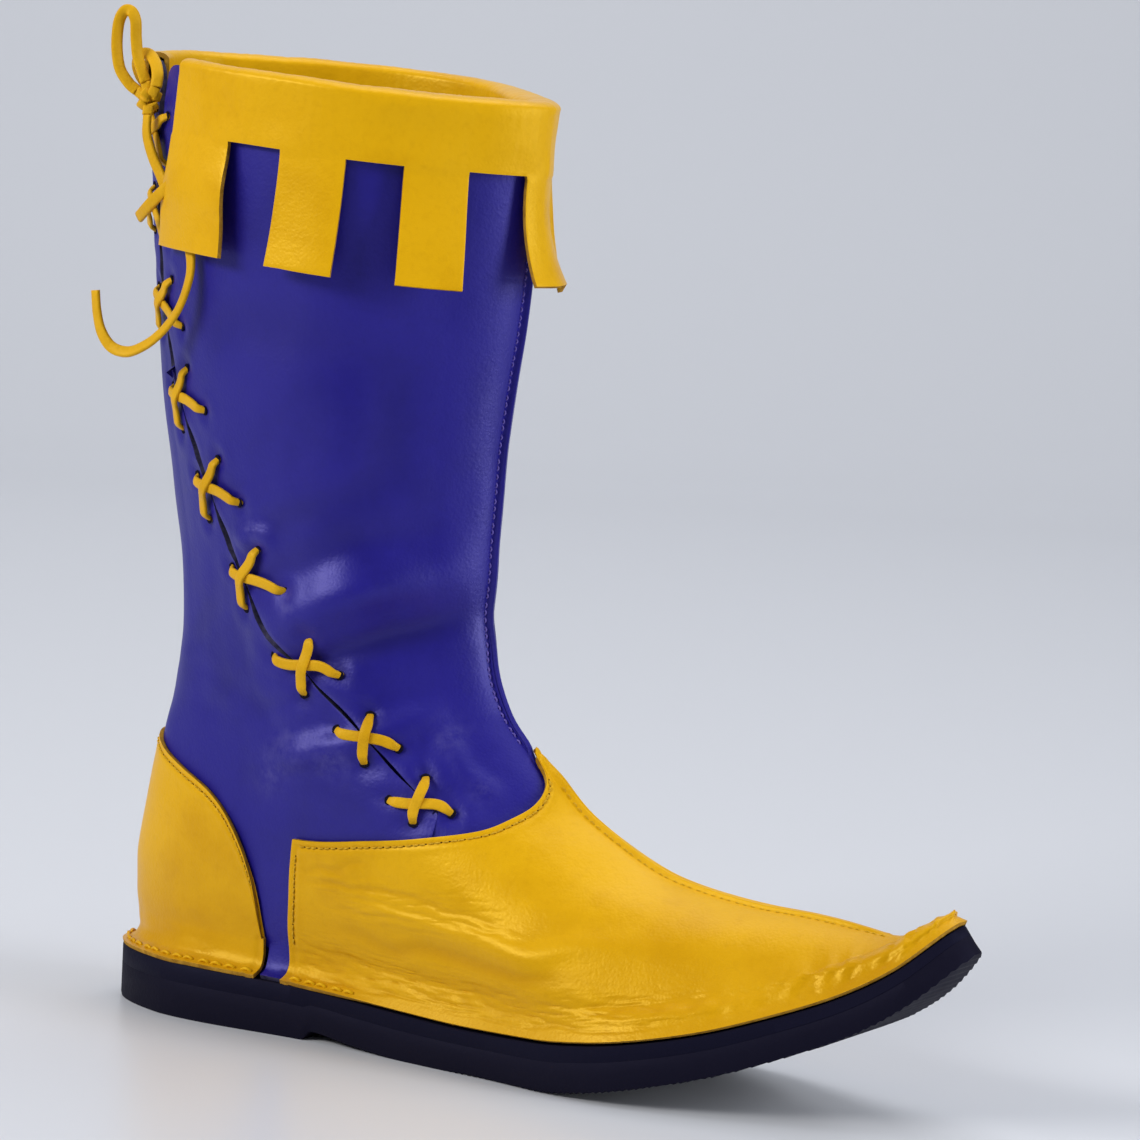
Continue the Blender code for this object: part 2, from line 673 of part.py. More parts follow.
def thong(points, ways, width, thick):
    """Flat strap with a rectangular section along a line of points."""
    verts = []
    for i, p in enumerate(points):
        along = points[min(i + 1, len(points) - 1)] - points[max(i - 1, 0)]
        along /= np.linalg.norm(along)
        side = np.cross(along, ways[i])
        side /= np.linalg.norm(side)
        out = np.cross(side, along)
        for a, b in ((-1, -1), (1, -1), (1, 1), (-1, 1)):
            verts.append(p + side * a * width / 2 + out * b * thick / 2)
    faces = [(3, 2, 1, 0)]
    for i in range(len(points) - 1):
        o = 4 * i
        faces += [(o + k, o + (k + 1) % 4, o + 4 + (k + 1) % 4, o + 4 + k) for k in range(4)]
    o = 4 * (len(points) - 1)
    faces.append((o, o + 1, o + 2, o + 3))
    return verts, faces


def strap_line(frame, start, end, lift):
    here, out, up, across = frame
    points = []
    for s in (0.0, 0.25, 0.5, 0.75, 1.0):
        beside = start[0] + (end[0] - start[0]) * s
        along = start[1] + (end[1] - start[1]) * s
        flat = here + across * beside + up * along
        rise = surface_lift(flat, out) + THONG_LIFT + THONG_THICK / 2
        points.append(flat + out * (rise + lift * max(1 - abs(2 * s - 1) * 1.3, 0.0)))
    return points, [out] * len(points)


def make_crossing(number, row, look):
    x, height, w, h = row
    frame = lace_frame(x, height)
    name = "lace_cross_%02d" % number
    under = strap_line(frame, (-w, h), (w, -h), 0.0)
    over = strap_line(frame, (w, h), (-w, -h), THONG_THICK)
    base = add_object(name, *thong(*under, THONG_WIDTH, THONG_THICK), look)
    other = add_object(name + "_over", *thong(*over, THONG_WIDTH, THONG_THICK + 0.2), look)
    other.hide_render = True
    other.display_type = "WIRE"
    join = base.modifiers.new("join", "BOOLEAN")
    join.operation = "UNION"
    join.solver = "EXACT"
    join.object = other


def make_knot(look):
    mesh = bpy.data.meshes.new("lace_knot")
    made = bmesh.new()
    bmesh.ops.create_uvsphere(made, u_segments=12, v_segments=8, radius=1.0)
    for v in made.verts:
        v.co = [(KNOT[i] + v.co[i] * KNOT_RADII[i]) * MM for i in range(3)]
    made.to_mesh(mesh)
    made.free()
    mesh.materials.append(look)
    bpy.context.scene.collection.objects.link(bpy.data.objects.new("lace_knot", mesh))


def smooth_route(route):
    """Points every two diameters along a smooth curve through a route's own points."""
    knots = np.array(route, float)
    ends = np.concatenate([[2 * knots[0] - knots[1]], knots, [2 * knots[-1] - knots[-2]]])
    fine = []
    for k in range(len(knots) - 1):
        a, b, c, d = ends[k:k + 4]
        for s in np.linspace(0.0, 1.0, ROUTE_STEPS, endpoint=False):
            bend = 2 * a - 5 * b + 4 * c - d + s * (3 * (b - c) + d - a)
            fine.append(b + 0.5 * s * (c - a + s * bend))
    fine = np.array(fine + [knots[-1]])
    run = np.concatenate([[0.0], np.cumsum(np.linalg.norm(np.diff(fine, axis=0), axis=1))])
    count = int(round(run[-1] / (4 * CORD_RADIUS))) + 1
    places = np.linspace(0.0, run[-1], count)
    return np.stack([np.interp(places, run, fine[:, i]) for i in range(3)], axis=1)


def make_cord(name, route, look):
    points = smooth_route(route)
    curve = bpy.data.curves.new(name, "CURVE")
    curve.dimensions = "3D"
    curve.bevel_depth = CORD_RADIUS * MM
    curve.bevel_resolution = 2
    curve.use_fill_caps = True
    line = curve.splines.new("POLY")
    line.points.add(len(points) - 1)
    for spot, p in zip(line.points, points):
        spot.co = (p[0] * MM, p[1] * MM, p[2] * MM, 1.0)
    curve.materials.append(look)
    bpy.context.scene.collection.objects.link(bpy.data.objects.new(name, curve))


def main():
    for old in list(bpy.data.objects):
        bpy.data.objects.remove(old)
    indigo = material("indigo_leather", (0.030, 0.020, 0.240), 0.45)
    yellow = material("yellow_leather", (0.760, 0.420, 0.010), 0.45)
    rubber = material("sole_rubber", (0.012, 0.011, 0.022), 0.6)
    tan = material("insole_leather", (0.420, 0.270, 0.140), 0.7)
    thong_look = material("lace_leather", (0.700, 0.380, 0.015), 0.5)
    make_sole(rubber)
    make_insole(tan)
    make_upper(indigo)
    front_columns = list(range(VAMP_REAR_OUT, LAST_COLUMN)) + list(range(0, VAMP_REAR_IN + 1))
    overlay("vamp", front_columns, vamp_top, True, yellow)
    overlay("heel_counter", list(range(COUNTER_IN, COUNTER_OUT + 1)), counter_top, False, yellow)
    make_cuff(yellow)
    for number, row in enumerate(CROSSINGS, 1):
        make_crossing(number, row, thong_look)
    make_knot(thong_look)
    for name, route in CORDS.items():
        make_cord(name, route, thong_look)


main()
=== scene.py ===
"""Looks of the medieval boot: leather panels, seams, thong lace, rubber sole and a plain studio."""
from math import cos, pi, radians, sin

import bpy
import numpy as np
from mathutils import Matrix


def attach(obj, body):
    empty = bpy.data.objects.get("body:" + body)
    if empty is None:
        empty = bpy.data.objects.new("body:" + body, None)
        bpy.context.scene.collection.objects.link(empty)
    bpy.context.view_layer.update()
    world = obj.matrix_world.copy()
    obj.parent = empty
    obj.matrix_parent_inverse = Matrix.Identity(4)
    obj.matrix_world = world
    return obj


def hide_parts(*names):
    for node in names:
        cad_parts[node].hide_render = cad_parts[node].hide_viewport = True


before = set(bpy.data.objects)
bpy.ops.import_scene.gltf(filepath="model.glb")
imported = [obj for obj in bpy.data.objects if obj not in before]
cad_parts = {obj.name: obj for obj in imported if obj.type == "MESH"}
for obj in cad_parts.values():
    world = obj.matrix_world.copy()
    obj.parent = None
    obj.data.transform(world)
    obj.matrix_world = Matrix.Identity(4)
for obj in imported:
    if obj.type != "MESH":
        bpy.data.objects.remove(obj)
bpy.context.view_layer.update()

# Axes: +X to the toe, +Y to the inner side of the foot, +Z up, origin under the heel.
# Sizes are in millimetres. A pair in a step() call is where a change begins and ends.
MM = 0.001
TINY = 1e-9

# Leather thicknesses
WALL = 2.2
OVERLAY = 1.4
OVERLAY_GAP = 0.5
CUFF_LEATHER = 1.6
FLANGE_LEATHER = 1.5

# Raised front seam: its rise, half angles of its foot and top, its middle's angle by height, where it fades
FIN_RISE = 2.6
FIN_BASE_ANGLE = 0.095
FIN_TOP_ANGLE = 0.061
FIN_MIDDLE = [(0, 0.0), (105, 0.0), (135, 0.10), (200, 0.20), (290, 0.27), (312, 0.28)]
FIN_LOW = (84, 92)
FIN_HIGH = (292, 272)

# How a section grows with a distance at its front and sides, how round the heel is, and the rim
RIDGE_RATIO = 1.7
SIDE_RATIO = 1.08
HEEL_ROUND = 0.45
RIM_SPAN = (-56.0, 94.0)
RIM_BACK = 306.8
RIM_FRONT = 301.8
CORNER_ROUND = 8.0

# Sole profile: x_top, z_top, x_bottom, z_bottom
PROFILE = [
    (-54.0, 18.4, -54.0, 0.0),
    (-20.0, 18.6, -20.0, 0.0),
    (30.0, 17.8, 30.0, 0.0),
    (37.0, 17.4, 37.0, 0.0),
    (41.0, 17.2, 41.0, 3.4),
    (58.0, 16.4, 58.0, 1.5),
    (80.0, 15.5, 80.0, 0.0),
    (105.0, 14.9, 105.0, 0.0),
    (135.0, 15.9, 136.0, 0.0),
    (155.0, 18.2, 157.0, 2.8),
    (170.0, 20.8, 172.9, 6.3),
    (193.0, 26.2, 196.9, 12.8),
    (215.0, 33.8, 219.8, 21.5),
    (235.0, 42.4, 240.8, 31.2),
    (250.0, 51.6, 256.5, 42.1),
    (266.5, 67.4, 273.0, 59.0),
]

# Plan sections: height, back, front, point, then half widths at five fractions, outer and inner
FRACTIONS = np.array([0.1, 0.3, 0.5, 0.7, 0.9])
SOLE_OUTLINE = np.array([-54.0, 266.5, 0.5, 29.5, 31.7, 39.2, 45.8, 23.0, 29.5, 27.5, 34.5, 42.0, 19.0])
SECTIONS = [
    (12, -47.5, 243.0, 0.62, 20.5, 25.0, 32.0, 39.0, 21.5, 20.5, 21.5, 28.5, 36.5, 19.5),
    (20, -48.3, 229.5, 0.64, 21.0, 27.0, 33.0, 38.3, 20.0, 21.0, 23.5, 30.5, 36.5, 20.0),
    (30, -48.3, 208.5, 0.66, 21.0, 28.5, 33.0, 36.5, 20.0, 21.0, 26.0, 31.5, 36.0, 21.0),
    (40, -47.3, 181.0, 0.66, 20.5, 29.5, 33.0, 34.0, 19.5, 20.5, 28.0, 32.5, 34.5, 20.5),
    (50, -45.8, 154.5, 0.66, 19.8, 29.5, 33.0, 33.0, 19.5, 19.8, 28.5, 33.0, 33.5, 20.0),
    (60, -44.0, 137.0, 0.66, 19.0, 29.0, 33.0, 32.0, 18.5, 19.0, 28.5, 33.0, 32.5, 19.0),
    (70, -42.0, 121.5, 0.66, 18.2, 28.5, 33.5, 31.5, 17.0, 18.2, 28.5, 33.5, 31.5, 17.0),
    (80, -40.0, 111.0, 0.66, 17.2, 28.0, 33.5, 31.0, 16.0, 17.2, 28.0, 33.5, 31.0, 16.0),
    (90, -37.8, 101.0, 0.66, 16.5, 27.5, 33.5, 30.5, 14.5, 16.5, 27.5, 33.5, 31.0, 15.0),
    (100, -36.3, 92.3, 0.66, 16.5, 27.5, 34.0, 31.0, 14.0, 16.5, 27.5, 34.0, 31.0, 14.5),
    (115, -35.0, 86.0, 0.66, 17.0, 28.5, 35.0, 31.5, 14.5, 17.0, 28.5, 35.0, 31.5, 14.5),
    (135, -36.0, 83.6, 0.66, 18.5, 31.0, 37.0, 33.5, 15.5, 18.5, 31.0, 37.0, 33.5, 15.5),
    (165, -41.0, 83.8, 0.66, 20.5, 35.0, 41.0, 37.0, 17.0, 20.5, 35.0, 41.0, 37.0, 17.0),
    (200, -46.5, 86.0, 0.66, 23.0, 39.0, 45.0, 40.5, 18.5, 22.5, 38.5, 45.0, 40.5, 18.5),
    (240, -50.0, 89.8, 0.66, 27.0, 43.5, 48.5, 43.5, 20.0, 24.5, 41.5, 48.5, 43.5, 20.0),
    (280, -52.0, 93.5, 0.66, 30.0, 46.5, 51.0, 45.5, 21.0, 26.0, 43.5, 51.0, 45.5, 21.0),
    (312, -53.0, 96.5, 0.66, 30.5, 47.5, 52.0, 46.5, 21.5, 26.5, 44.5, 52.0, 46.5, 21.5),
]
FIRST_HEIGHT = 12.0
TIP_INSET_RATIO = 1.6

# Turned out foot of a panel: inset from the sole's edge and height above the sole
TURN = [(0.7, FLANGE_LEATHER), (3.0, 2.3), (5.2, 3.7), (6.4, 7.0)]
UPPER_TURN = [(2.0, 1.3), (4.2, 2.2), (5.7, 4.2), (6.6, 7.6)]
STRAIGHT_TURN = [(0.7, FLANGE_LEATHER), (1.7, 3.4), (2.9, 5.8), (4.0, 8.8)]
TUCK = 7.5
STRAIGHT_FROM = (30, 75)
UPRIGHT_FROM = (-25, 5)
UPRIGHT_TO = (120, 70)

# Slit on the outer side: height and distance along the foot, and half its opening
SLIT = [
    (0, 84.0), (68, 84.0), (75, 76.0), (80, 69.5), (88, 60.0), (96, 51.0), (105, 39.5), (115, 27.0),
    (127, 15.0), (142, 5.0), (154, -2.0), (172, -11.5), (186, -18.8), (200, -26.0),
    (213, -30.5), (235, -35.8), (257, -37.5), (280, -36.5), (312, -32.0),
]
SLIT_END = 68.0
SLIT_GAP = [(68, 0.0), (76, 1.1), (95, 2.0), (200, 1.9), (260, 1.8), (312, 3.0)]
MIDDLE_LINE = 85.0

# Top lines of vamp (angle, height) and counter (x, height), and their upright edges
VAMP_TOP = [(0, 89.8), (3.5, 89.3), (5.4, 87.6), (8, 83.6), (12, 80.2), (17, 77.4), (27.5, 72.5), (38.5, 68.5),
            (48.5, 65.0), (64, 61.0), (83.5, 55.5), (100, 51.0), (125, 48.0)]
VAMP_REAR = [(0, 28.5), (14, 28.5), (30, 29.6), (43, 30.8), (60, 33.0)]
COUNTER_TOP = [(-60, 76.0), (-42, 76.0), (-36, 73.0), (-31, 70.5), (-19.5, 66.0), (-8, 61.5), (0, 56.0),
               (6.7, 48.0), (11.5, 39.5), (14.3, 31.0), (15.8, 22.0), (16.4, 12.0)]
COUNTER_FRONT = [(0, 18.3), (14, 18.1), (32, 16.6), (80, 16.6)]

# Cuff: how far its parts reach below the rim, how its tabs stand off, bend and sway, and where they are cut
BAND_DROP = 22.0
TAB_DROP = 60.5
FRONT_TAB_DROP = 57.5
INSIDE_DROP = 28.0
CUFF_CLEAR = 0.9
FOLD_RISE = 2.6
TAB_STAND_OFF = 5.2
NEAR_TAB_STAND_OFF = (1.8, 6.0)
FRONT_TAB_STAND_OFF = 6.0
REAR_TAB_STAND_OFF = 0.8
TAB_BEND = 1.3
NEAR_TAB_BEND = 1.15
NEAR_END_LEAN = 8.7
TAB_SWAY = (0.0, -2.6, -1.4, 0.0, 1.2, -0.8, 0.9, -1.1, 0.6)
FRONT_TAB_BEND = 2.2
REAR_FROM = 2.2
TAB_WIDTH = 21.5
NOTCH_WIDTH = 19.0
CUFF_LEVEL = 285.0
OUTER_TAB_EDGES = (-15.0, -37.0, -54.0, -68.0, -85.5, -101.5)
NEAR_END_FROM_SLIT = 11.5
FAR_END_FROM_SLIT = 15.0
FRONT_HALF_ANGLE = 0.32

# Thong lace: crossings as x at the slit, height, half width, half length
THONG_WIDTH = 4.0
THONG_THICK = 1.8
CROSSINGS = [
    (-36.4, 282.0, 6.5, 8.5),
    (-37.5, 256.0, 7.0, 8.5),
    (-33.0, 224.0, 8.0, 8.5),
    (-22.6, 193.0, 8.3, 8.6),
    (-7.2, 164.0, 8.6, 8.6),
    (8.5, 136.8, 9.0, 8.7),
    (33.5, 109.8, 9.2, 9.2),
    (57.0, 90.8, 8.8, 8.5),
    (77.8, 73.2, 8.0, 7.6),
]
# Routes of the two thongs of a crossing across and along the slit: shares of the half sizes, then the lower ones in mm
OVER_SHARES = [(1.2, 0.95), (0.7, 0.55), (0.1, 0.2), (-0.6, -0.3), (-1.0, -1.0)]
UNDER_SHARES = [(-0.8, 1.0), (-0.7, 0.68), (-0.25, 0.32), (0.6, -0.2), (1.15, -0.7), (1.5, -1.15)]
OVER_ROUTES = {
    6: [(12.0, 5.5), (7.5, 2.4), (1.0, -0.4), (-4.0, -4.8), (-6.9, -10.2)],
    7: [(10.0, 5.5), (7.6, 2.6), (3.0, 0.0), (-2.3, -2.8), (-7.7, -7.2)],
    8: [(5.9, 4.0), (3.4, 1.5), (-0.6, -1.2), (-4.6, -4.6), (-7.4, -8.2)],
    9: [(6.2, 3.2), (4.0, 1.0), (-0.1, -0.8), (-4.9, -2.6), (-8.8, -5.8)],
}
UNDER_ROUTES = {
    6: [(-5.6, 6.2), (-3.4, 2.9), (0.0, 0.0), (5.4, -3.6), (10.0, -7.6), (14.2, -13.0)],
    7: [(-5.8, 11.4), (-5.4, 7.7), (-2.7, 3.5), (1.6, -0.8), (5.6, -5.4), (7.3, -12.3)],
    8: [(-7.0, 8.5), (-6.0, 5.1), (-3.6, 2.0), (-0.1, -2.0), (3.5, -6.8), (5.5, -12.2)],
    9: [(-8.5, 7.2), (-7.6, 4.5), (-4.8, 0.5), (-0.9, -3.6), (2.3, -7.8), (3.3, -13.2)],
}
KNOT = np.array([-37.5, -35.8, 311.4])
CORDS = {
    "lace_loop_tall": [(-41.4, -37.8, 314.8), (-44.2, -38.6, 317.0), (-47.5, -39.4, 321.6), (-48.8, -39.8, 327.9),
                       (-48.9, -39.8, 334.2), (-48.2, -39.6, 338.6), (-46.5, -39.2, 341.2), (-44.4, -38.5, 341.0),
                       (-43.1, -37.8, 338.0), (-43.0, -37.2, 332.2), (-42.2, -36.8, 325.8), (-40.2, -36.8, 321.0),
                       (-38.6, -36.8, 317.8)],
    "lace_loop_small": [(-40.4, -33.4, 316.6), (-44.0, -32.4, 319.8), (-45.6, -32.0, 323.4), (-44.4, -32.0, 326.6),
                        (-40.5, -32.8, 327.0), (-36.8, -34.2, 324.2), (-34.5, -36.0, 320.3), (-33.9, -37.5, 316.4)],
    "lace_end_short": [(-12.6, -46.9, 290.6), (-15.6, -45.9, 289.0), (-18.8, -45.0, 286.9), (-23.2, -44.8, 283.2),
                       (-27.6, -44.4, 279.5), (-32.0, -42.8, 276.0), (-37.2, -39.5, 272.5)],
    "lace_end_long": [(-35.6, -39.4, 307.0), (-35.2, -39.8, 300.5), (-32.6, -39.8, 293.5), (-29.0, -39.6, 287.2),
                      (-24.7, -41.0, 281.2), (-20.1, -42.6, 275.4), (-15.6, -44.6, 269.5), (-11.6, -46.2, 264),
                      (-10.2, -47.0, 257.5), (-11.2, -47.4, 251), (-14.0, -47.0, 244.5), (-18.1, -46.0, 239.2),
                      (-23.2, -45.2, 234.2), (-28.7, -45.0, 230.2), (-35.2, -45.4, 227.4), (-41.6, -45.8, 228.4),
                      (-46.0, -46.0, 233.2), (-48.2, -46.0, 239.8), (-49.2, -46.0, 247.1)],
}

# Folds of the shaft: x, height, tilt in degrees, length, width, depth (a ridge is negative)
SHAFT_CREASES = [
    (44, 135, 31, 60, 12.5, -5.2),
    (56, 117, 28, 50, 6.0, 1.4),
    (30, 158, 27, 46, 7.0, 1.0),
    (13, 151, 10, 18, 6.0, -2.4),
    (15, 165, 14, 16, 2.2, 0.3),
    (66, 92, 24, 26, 6.5, -2.0),
    (90, 84, -48, 30, 3.8, -0.9),
    (80, 80, -48, 30, 4.0, 0.7),
    (39, 81, 20, 34, 7.5, -2.6),
    (30, 96, 10, 40, 4.5, 0.5),
    (10, 92, -24, 40, 6.0, 0.4),
    (30, 222, -8, 70, 16.0, 0.9),
    (55, 185, 76, 60, 9.0, 0.7),
    (-15, 120, 50, 36, 7.0, 0.5),
]
# Pale patches of the outer side, partly scuffs and partly painted highlights: x, height, size
SCUFFS_AND_HIGHLIGHTS = [(28, 83, 8), (47, 79, 7), (13, 153, 5), (82, 92, 5), (30, 131, 5), (96, 76, 4), (20, 70, 6)]
# Folds of the vamp
VAMP_CREASES = [
    (108, 31, -2, 90, 5.5, -1.1),
    (100, 21, 0, 100, 4.0, 0.5),
    (62, 39, 5, 44, 1.6, 0.30),
    (80, 35, -3, 50, 1.4, 0.28),
    (98, 38, -6, 40, 1.3, 0.24),
    (70, 31, 4, 36, 1.5, 0.24),
    (112, 34, -8, 30, 1.3, 0.22),
    (50, 44, 18, 26, 2.0, 0.25),
]


# Curves and sections

OUTWARD = np.array([-1.0, RIDGE_RATIO, 0.0] + [SIDE_RATIO] * 10)
INWARD = np.array([1.0, -TIP_INSET_RATIO, 0.0] + [-1.0] * 10)


def slopes(xs, ys):
    """Monotone slopes at the stations of a table, down its first axis."""
    rise = (np.diff(ys, axis=0).T / np.diff(xs)).T
    same = rise[:-1] * rise[1:] > 0
    total = np.where(same, rise[:-1] + rise[1:], 1.0)
    inner = np.where(same, 2 * rise[:-1] * rise[1:] / total, 0.0)
    return np.concatenate([rise[:1], inner, rise[-1:]])


def cubic(s, gap, y0, y1, m0, m1):
    start = (1 + 2 * s) * (1 - s) ** 2 * y0 + s * (1 - s) ** 2 * gap * m0
    return start + s * s * (3 - 2 * s) * y1 + s * s * (s - 1) * gap * m1


def smooth_line(table, x):
    """Monotone cubic through a table whose first column is the station; returns the other columns."""
    rows = np.asarray(table, float)
    xs, ys = rows[:, 0], rows[:, 1:]
    x = np.clip(np.asarray(x, float), xs[0], xs[-1])
    k = np.clip(np.searchsorted(xs, x, side="right") - 1, 0, len(xs) - 2)
    gap = (xs[k + 1] - xs[k])[..., None]
    s = (x - xs[k])[..., None] / gap
    m = slopes(xs, ys)
    return cubic(s, gap, ys[k], ys[k + 1], m[k], m[k + 1])


def line(table, x):
    return smooth_line(table, x)[..., 0]


def across(full, t):
    """Monotone cubic over the fractions, with its own values for every point."""
    ys = np.moveaxis(full, -1, 0)
    m = slopes(FRACTIONS, ys)
    t = np.clip(t, FRACTIONS[0], FRACTIONS[-1])
    k = np.clip(np.searchsorted(FRACTIONS, t, side="right") - 1, 0, len(FRACTIONS) - 2)
    gap = FRACTIONS[k + 1] - FRACTIONS[k]

    def pick(values, i):
        return np.take_along_axis(values, i[None], 0)[0]

    return cubic((t - FRACTIONS[k]) / gap, gap, pick(ys, k), pick(ys, k + 1), pick(m, k), pick(m, k + 1))


def sole_top(x):
    return line(PROFILE, x)


def moved(section, distance, ways):
    """Section moved by a distance, outward or inward."""
    return section + np.asarray(distance, float)[..., None] * ways


def plan_point(section, angle):
    """Point of a section: angle 0 at the front, negative on the outer side, pi at the back."""
    section, angle = np.broadcast_arrays(section, np.asarray(angle, float)[..., None])
    angle = angle[..., 0]
    t = (1 + np.cos(angle)) / 2
    point = section[..., 2]
    widths = np.where(angle[..., None] < 0, section[..., 3:8], section[..., 8:13])
    full = widths / (FRACTIONS ** HEEL_ROUND * (1 - FRACTIONS) ** point[..., None])
    half = across(full, t) * t ** HEEL_ROUND * np.clip(1 - t, 0, None) ** point
    x = section[..., 0] + (section[..., 1] - section[..., 0]) * t
    return x, np.where(angle < 0, -half, half)


def angle_of(section, x):
    t = np.clip((x - section[..., 0]) / (section[..., 1] - section[..., 0]), 0.0, 1.0)
    return np.arccos(2 * t - 1)


def section_at(height):
    return smooth_line(SECTIONS, height)


def angle_at(height, x):
    return angle_of(section_at(height), x)


def rim_height(x):
    return np.interp(x, RIM_SPAN, (RIM_BACK, RIM_FRONT))


def skin(angle, height, out=0.0):
    """Points of the upper's outer face, or of a face lying a distance outside it."""
    x, y = plan_point(moved(section_at(height), out, OUTWARD), angle)
    return np.stack([x, y, sole_top(x) + height], -1)


def through(knots, t):
    """Smooth curve through knots; t runs from 0 to 1, or is an array of such shares."""
    knots = np.asarray(knots, float)
    padded = np.concatenate([2 * knots[:1] - knots[1:2], knots, 2 * knots[-1:] - knots[-2:-1]])
    place = np.clip(np.asarray(t, float), 0, 1) * (len(knots) - 1)
    k = np.clip(place.astype(int), 0, len(knots) - 2)
    s = (place - k).reshape(place.shape + (1,) * (knots.ndim - 1))
    a, b, c, d = (padded[k + i] for i in range(4))
    return b + 0.5 * s * (c - a + s * (2 * a - 5 * b + 4 * c - d + s * (3 * (b - c) + d - a)))


def foot(angle, share, out, tuck, turn):
    """Turned out foot of a panel: share 0 at the sole's edge, 1 where the sections start."""
    start = skin(angle, np.full_like(angle, FIRST_HEIGHT), out)
    straight = step(*STRAIGHT_FROM, start[..., 0])
    upright = step(*UPRIGHT_FROM, start[..., 0]) * step(*UPRIGHT_TO, start[..., 0])
    knots = []
    for turned, plain_foot in zip(turn, STRAIGHT_TURN):
        inset, height = (a + (b - a) * straight for a, b in zip(turned, plain_foot))
        section = moved(SOLE_OUTLINE, inset + tuck - 0.5 * out, INWARD)
        x = plan_point(section, angle)[0]
        place = np.sign(angle) * angle_of(section, x + (start[..., 0] - x) * upright)
        x, y = plan_point(section, place)
        knots.append(np.stack([x, y, sole_top(x) + height], -1))
    return through([*knots, start], share)


def panel_points(angle, height, out, shares, tuck=0.0, turn=TURN):
    """Grid of a panel: foot rows from one row of angles, then rows of skin above."""
    low = [foot(angle[0], s, out, tuck, turn) for s in shares]
    return np.concatenate([np.array(low), skin(angle, height, out)])


def with_foot(values, grid, rows):
    """Grid of values with rows for the foot set before it."""
    return np.concatenate([np.broadcast_to(values, (rows, grid.shape[1])), grid])


# Relief: a crease's waver and its length, in widths, the height of its banks, and the first seed

WAVER = 0.55
WAVER_LENGTH = 3.5
CREASE_BANKS = 1.3
CREASE_SEED = 11


def noise(u, v, seed):
    """Smooth value noise over a plane, between -1 and 1."""
    iu, iv = np.floor(u), np.floor(v)
    fu, fv = u - iu, v - iv

    def corner(a, b):
        wave = np.sin((iu + a) * 127.1 + (iv + b) * 311.7 + seed * 74.7) * 43758.5453
        return wave - np.floor(wave)

    su, sv = fu * fu * (3 - 2 * fu), fv * fv * (3 - 2 * fv)
    low = corner(0, 0) * (1 - su) + corner(1, 0) * su
    high = corner(0, 1) * (1 - su) + corner(1, 1) * su
    return 2 * (low * (1 - sv) + high * sv) - 1


def step(low, high, value):
    s = np.clip((value - low) / (high - low), 0.0, 1.0)
    return s * s * (3 - 2 * s)


def bell(value, middle, reach):
    return np.exp(-((value - middle) / reach) ** 2)


def creases(x, height, table):
    """Soft troughs with low ridges beside them, along straight lines that waver a little."""
    total = np.zeros_like(x)
    for n, (cx, ch, tilt, length, width, depth) in enumerate(table):
        c, s = cos(radians(tilt)), sin(radians(tilt))
        along = (x - cx) * c + (height - ch) * s
        waver = noise(along / (WAVER_LENGTH * width), np.full_like(along, n), CREASE_SEED + n)
        beside = (height - ch) * c - (x - cx) * s + WAVER * width * waver
        q = (beside / width) ** 2
        total -= depth * (1 - CREASE_BANKS * q) * np.exp(-q) * np.exp(-(2 * along / length) ** 4)
    return total


def unit(ways, least=0.0):
    return ways / (np.linalg.norm(ways, axis=-1, keepdims=True) + least)


def normals(points):
    return unit(np.cross(np.gradient(points, axis=1), np.gradient(points, axis=0)), TINY)


def run_along(points, axis=0):
    """Distance along a grid's lines, or along one line, from the first point."""
    gaps = np.linalg.norm(np.diff(points, axis=axis), axis=-1)
    pad = [(0, 0)] * gaps.ndim
    pad[axis] = (1, 0)
    return np.pad(np.cumsum(gaps, axis=axis), pad)


def at_run(run, values, distance):
    """Values of a line at a distance along it."""
    return np.stack([np.interp(distance, run, values[:, i]) for i in range(3)], -1)


# Materials

def set_all(target, **settings):
    for key, value in settings.items():
        setattr(target, key, value)
    return target


def new_material(name):
    made = bpy.data.materials.new(name)
    made.use_nodes = True
    tree = made.node_tree
    return made, tree, tree.nodes["Principled BSDF"]


def feed(tree, node, inputs):
    """Sets a node's inputs: a socket is linked, a tuple is a colour, anything else is a number."""
    for key, value in inputs.items():
        if isinstance(value, bpy.types.NodeSocket):
            tree.links.new(value, node.inputs[key])
        else:
            node.inputs[key].default_value = (*value, 1.0) if isinstance(value, tuple) else value


def add_node(tree, kind, inputs, **settings):
    """New node with its settings and inputs; returns its outputs."""
    made = set_all(tree.nodes.new(kind), **settings)
    feed(tree, made, inputs)
    return made.outputs


def place_of(tree):
    return add_node(tree, "ShaderNodeTexCoord", {})["Object"]


def tone_of(tree):
    return add_node(tree, "ShaderNodeAttribute", {}, attribute_name="tone")["Fac"]


def cloudy(tree, place, scale, detail, rough=0.55):
    inputs = {"Vector": place, "Scale": scale, "Detail": detail, "Roughness": rough}
    return add_node(tree, "ShaderNodeTexNoise", inputs)["Fac"]


def ranged(tree, socket, low, high, to_low, to_high):
    inputs = {"Value": socket, "From Min": low, "From Max": high, "To Min": to_low, "To Max": to_high}
    return add_node(tree, "ShaderNodeMapRange", inputs)["Result"]


def blend(tree, socket, low, high, most, first, second):
    """First colour, turning to at most a share of the second as a socket goes from low to high."""
    share = ranged(tree, socket, low, high, 0.0, most)
    return add_node(tree, "ShaderNodeMix", {0: share, 6: first, 7: second}, data_type="RGBA")[2]


def bump(tree, height, strength, distance, under=None):
    inputs = {"Strength": strength, "Distance": distance, "Height": height}
    if under:
        inputs["Normal"] = under
    return add_node(tree, "ShaderNodeBump", inputs)["Normal"]


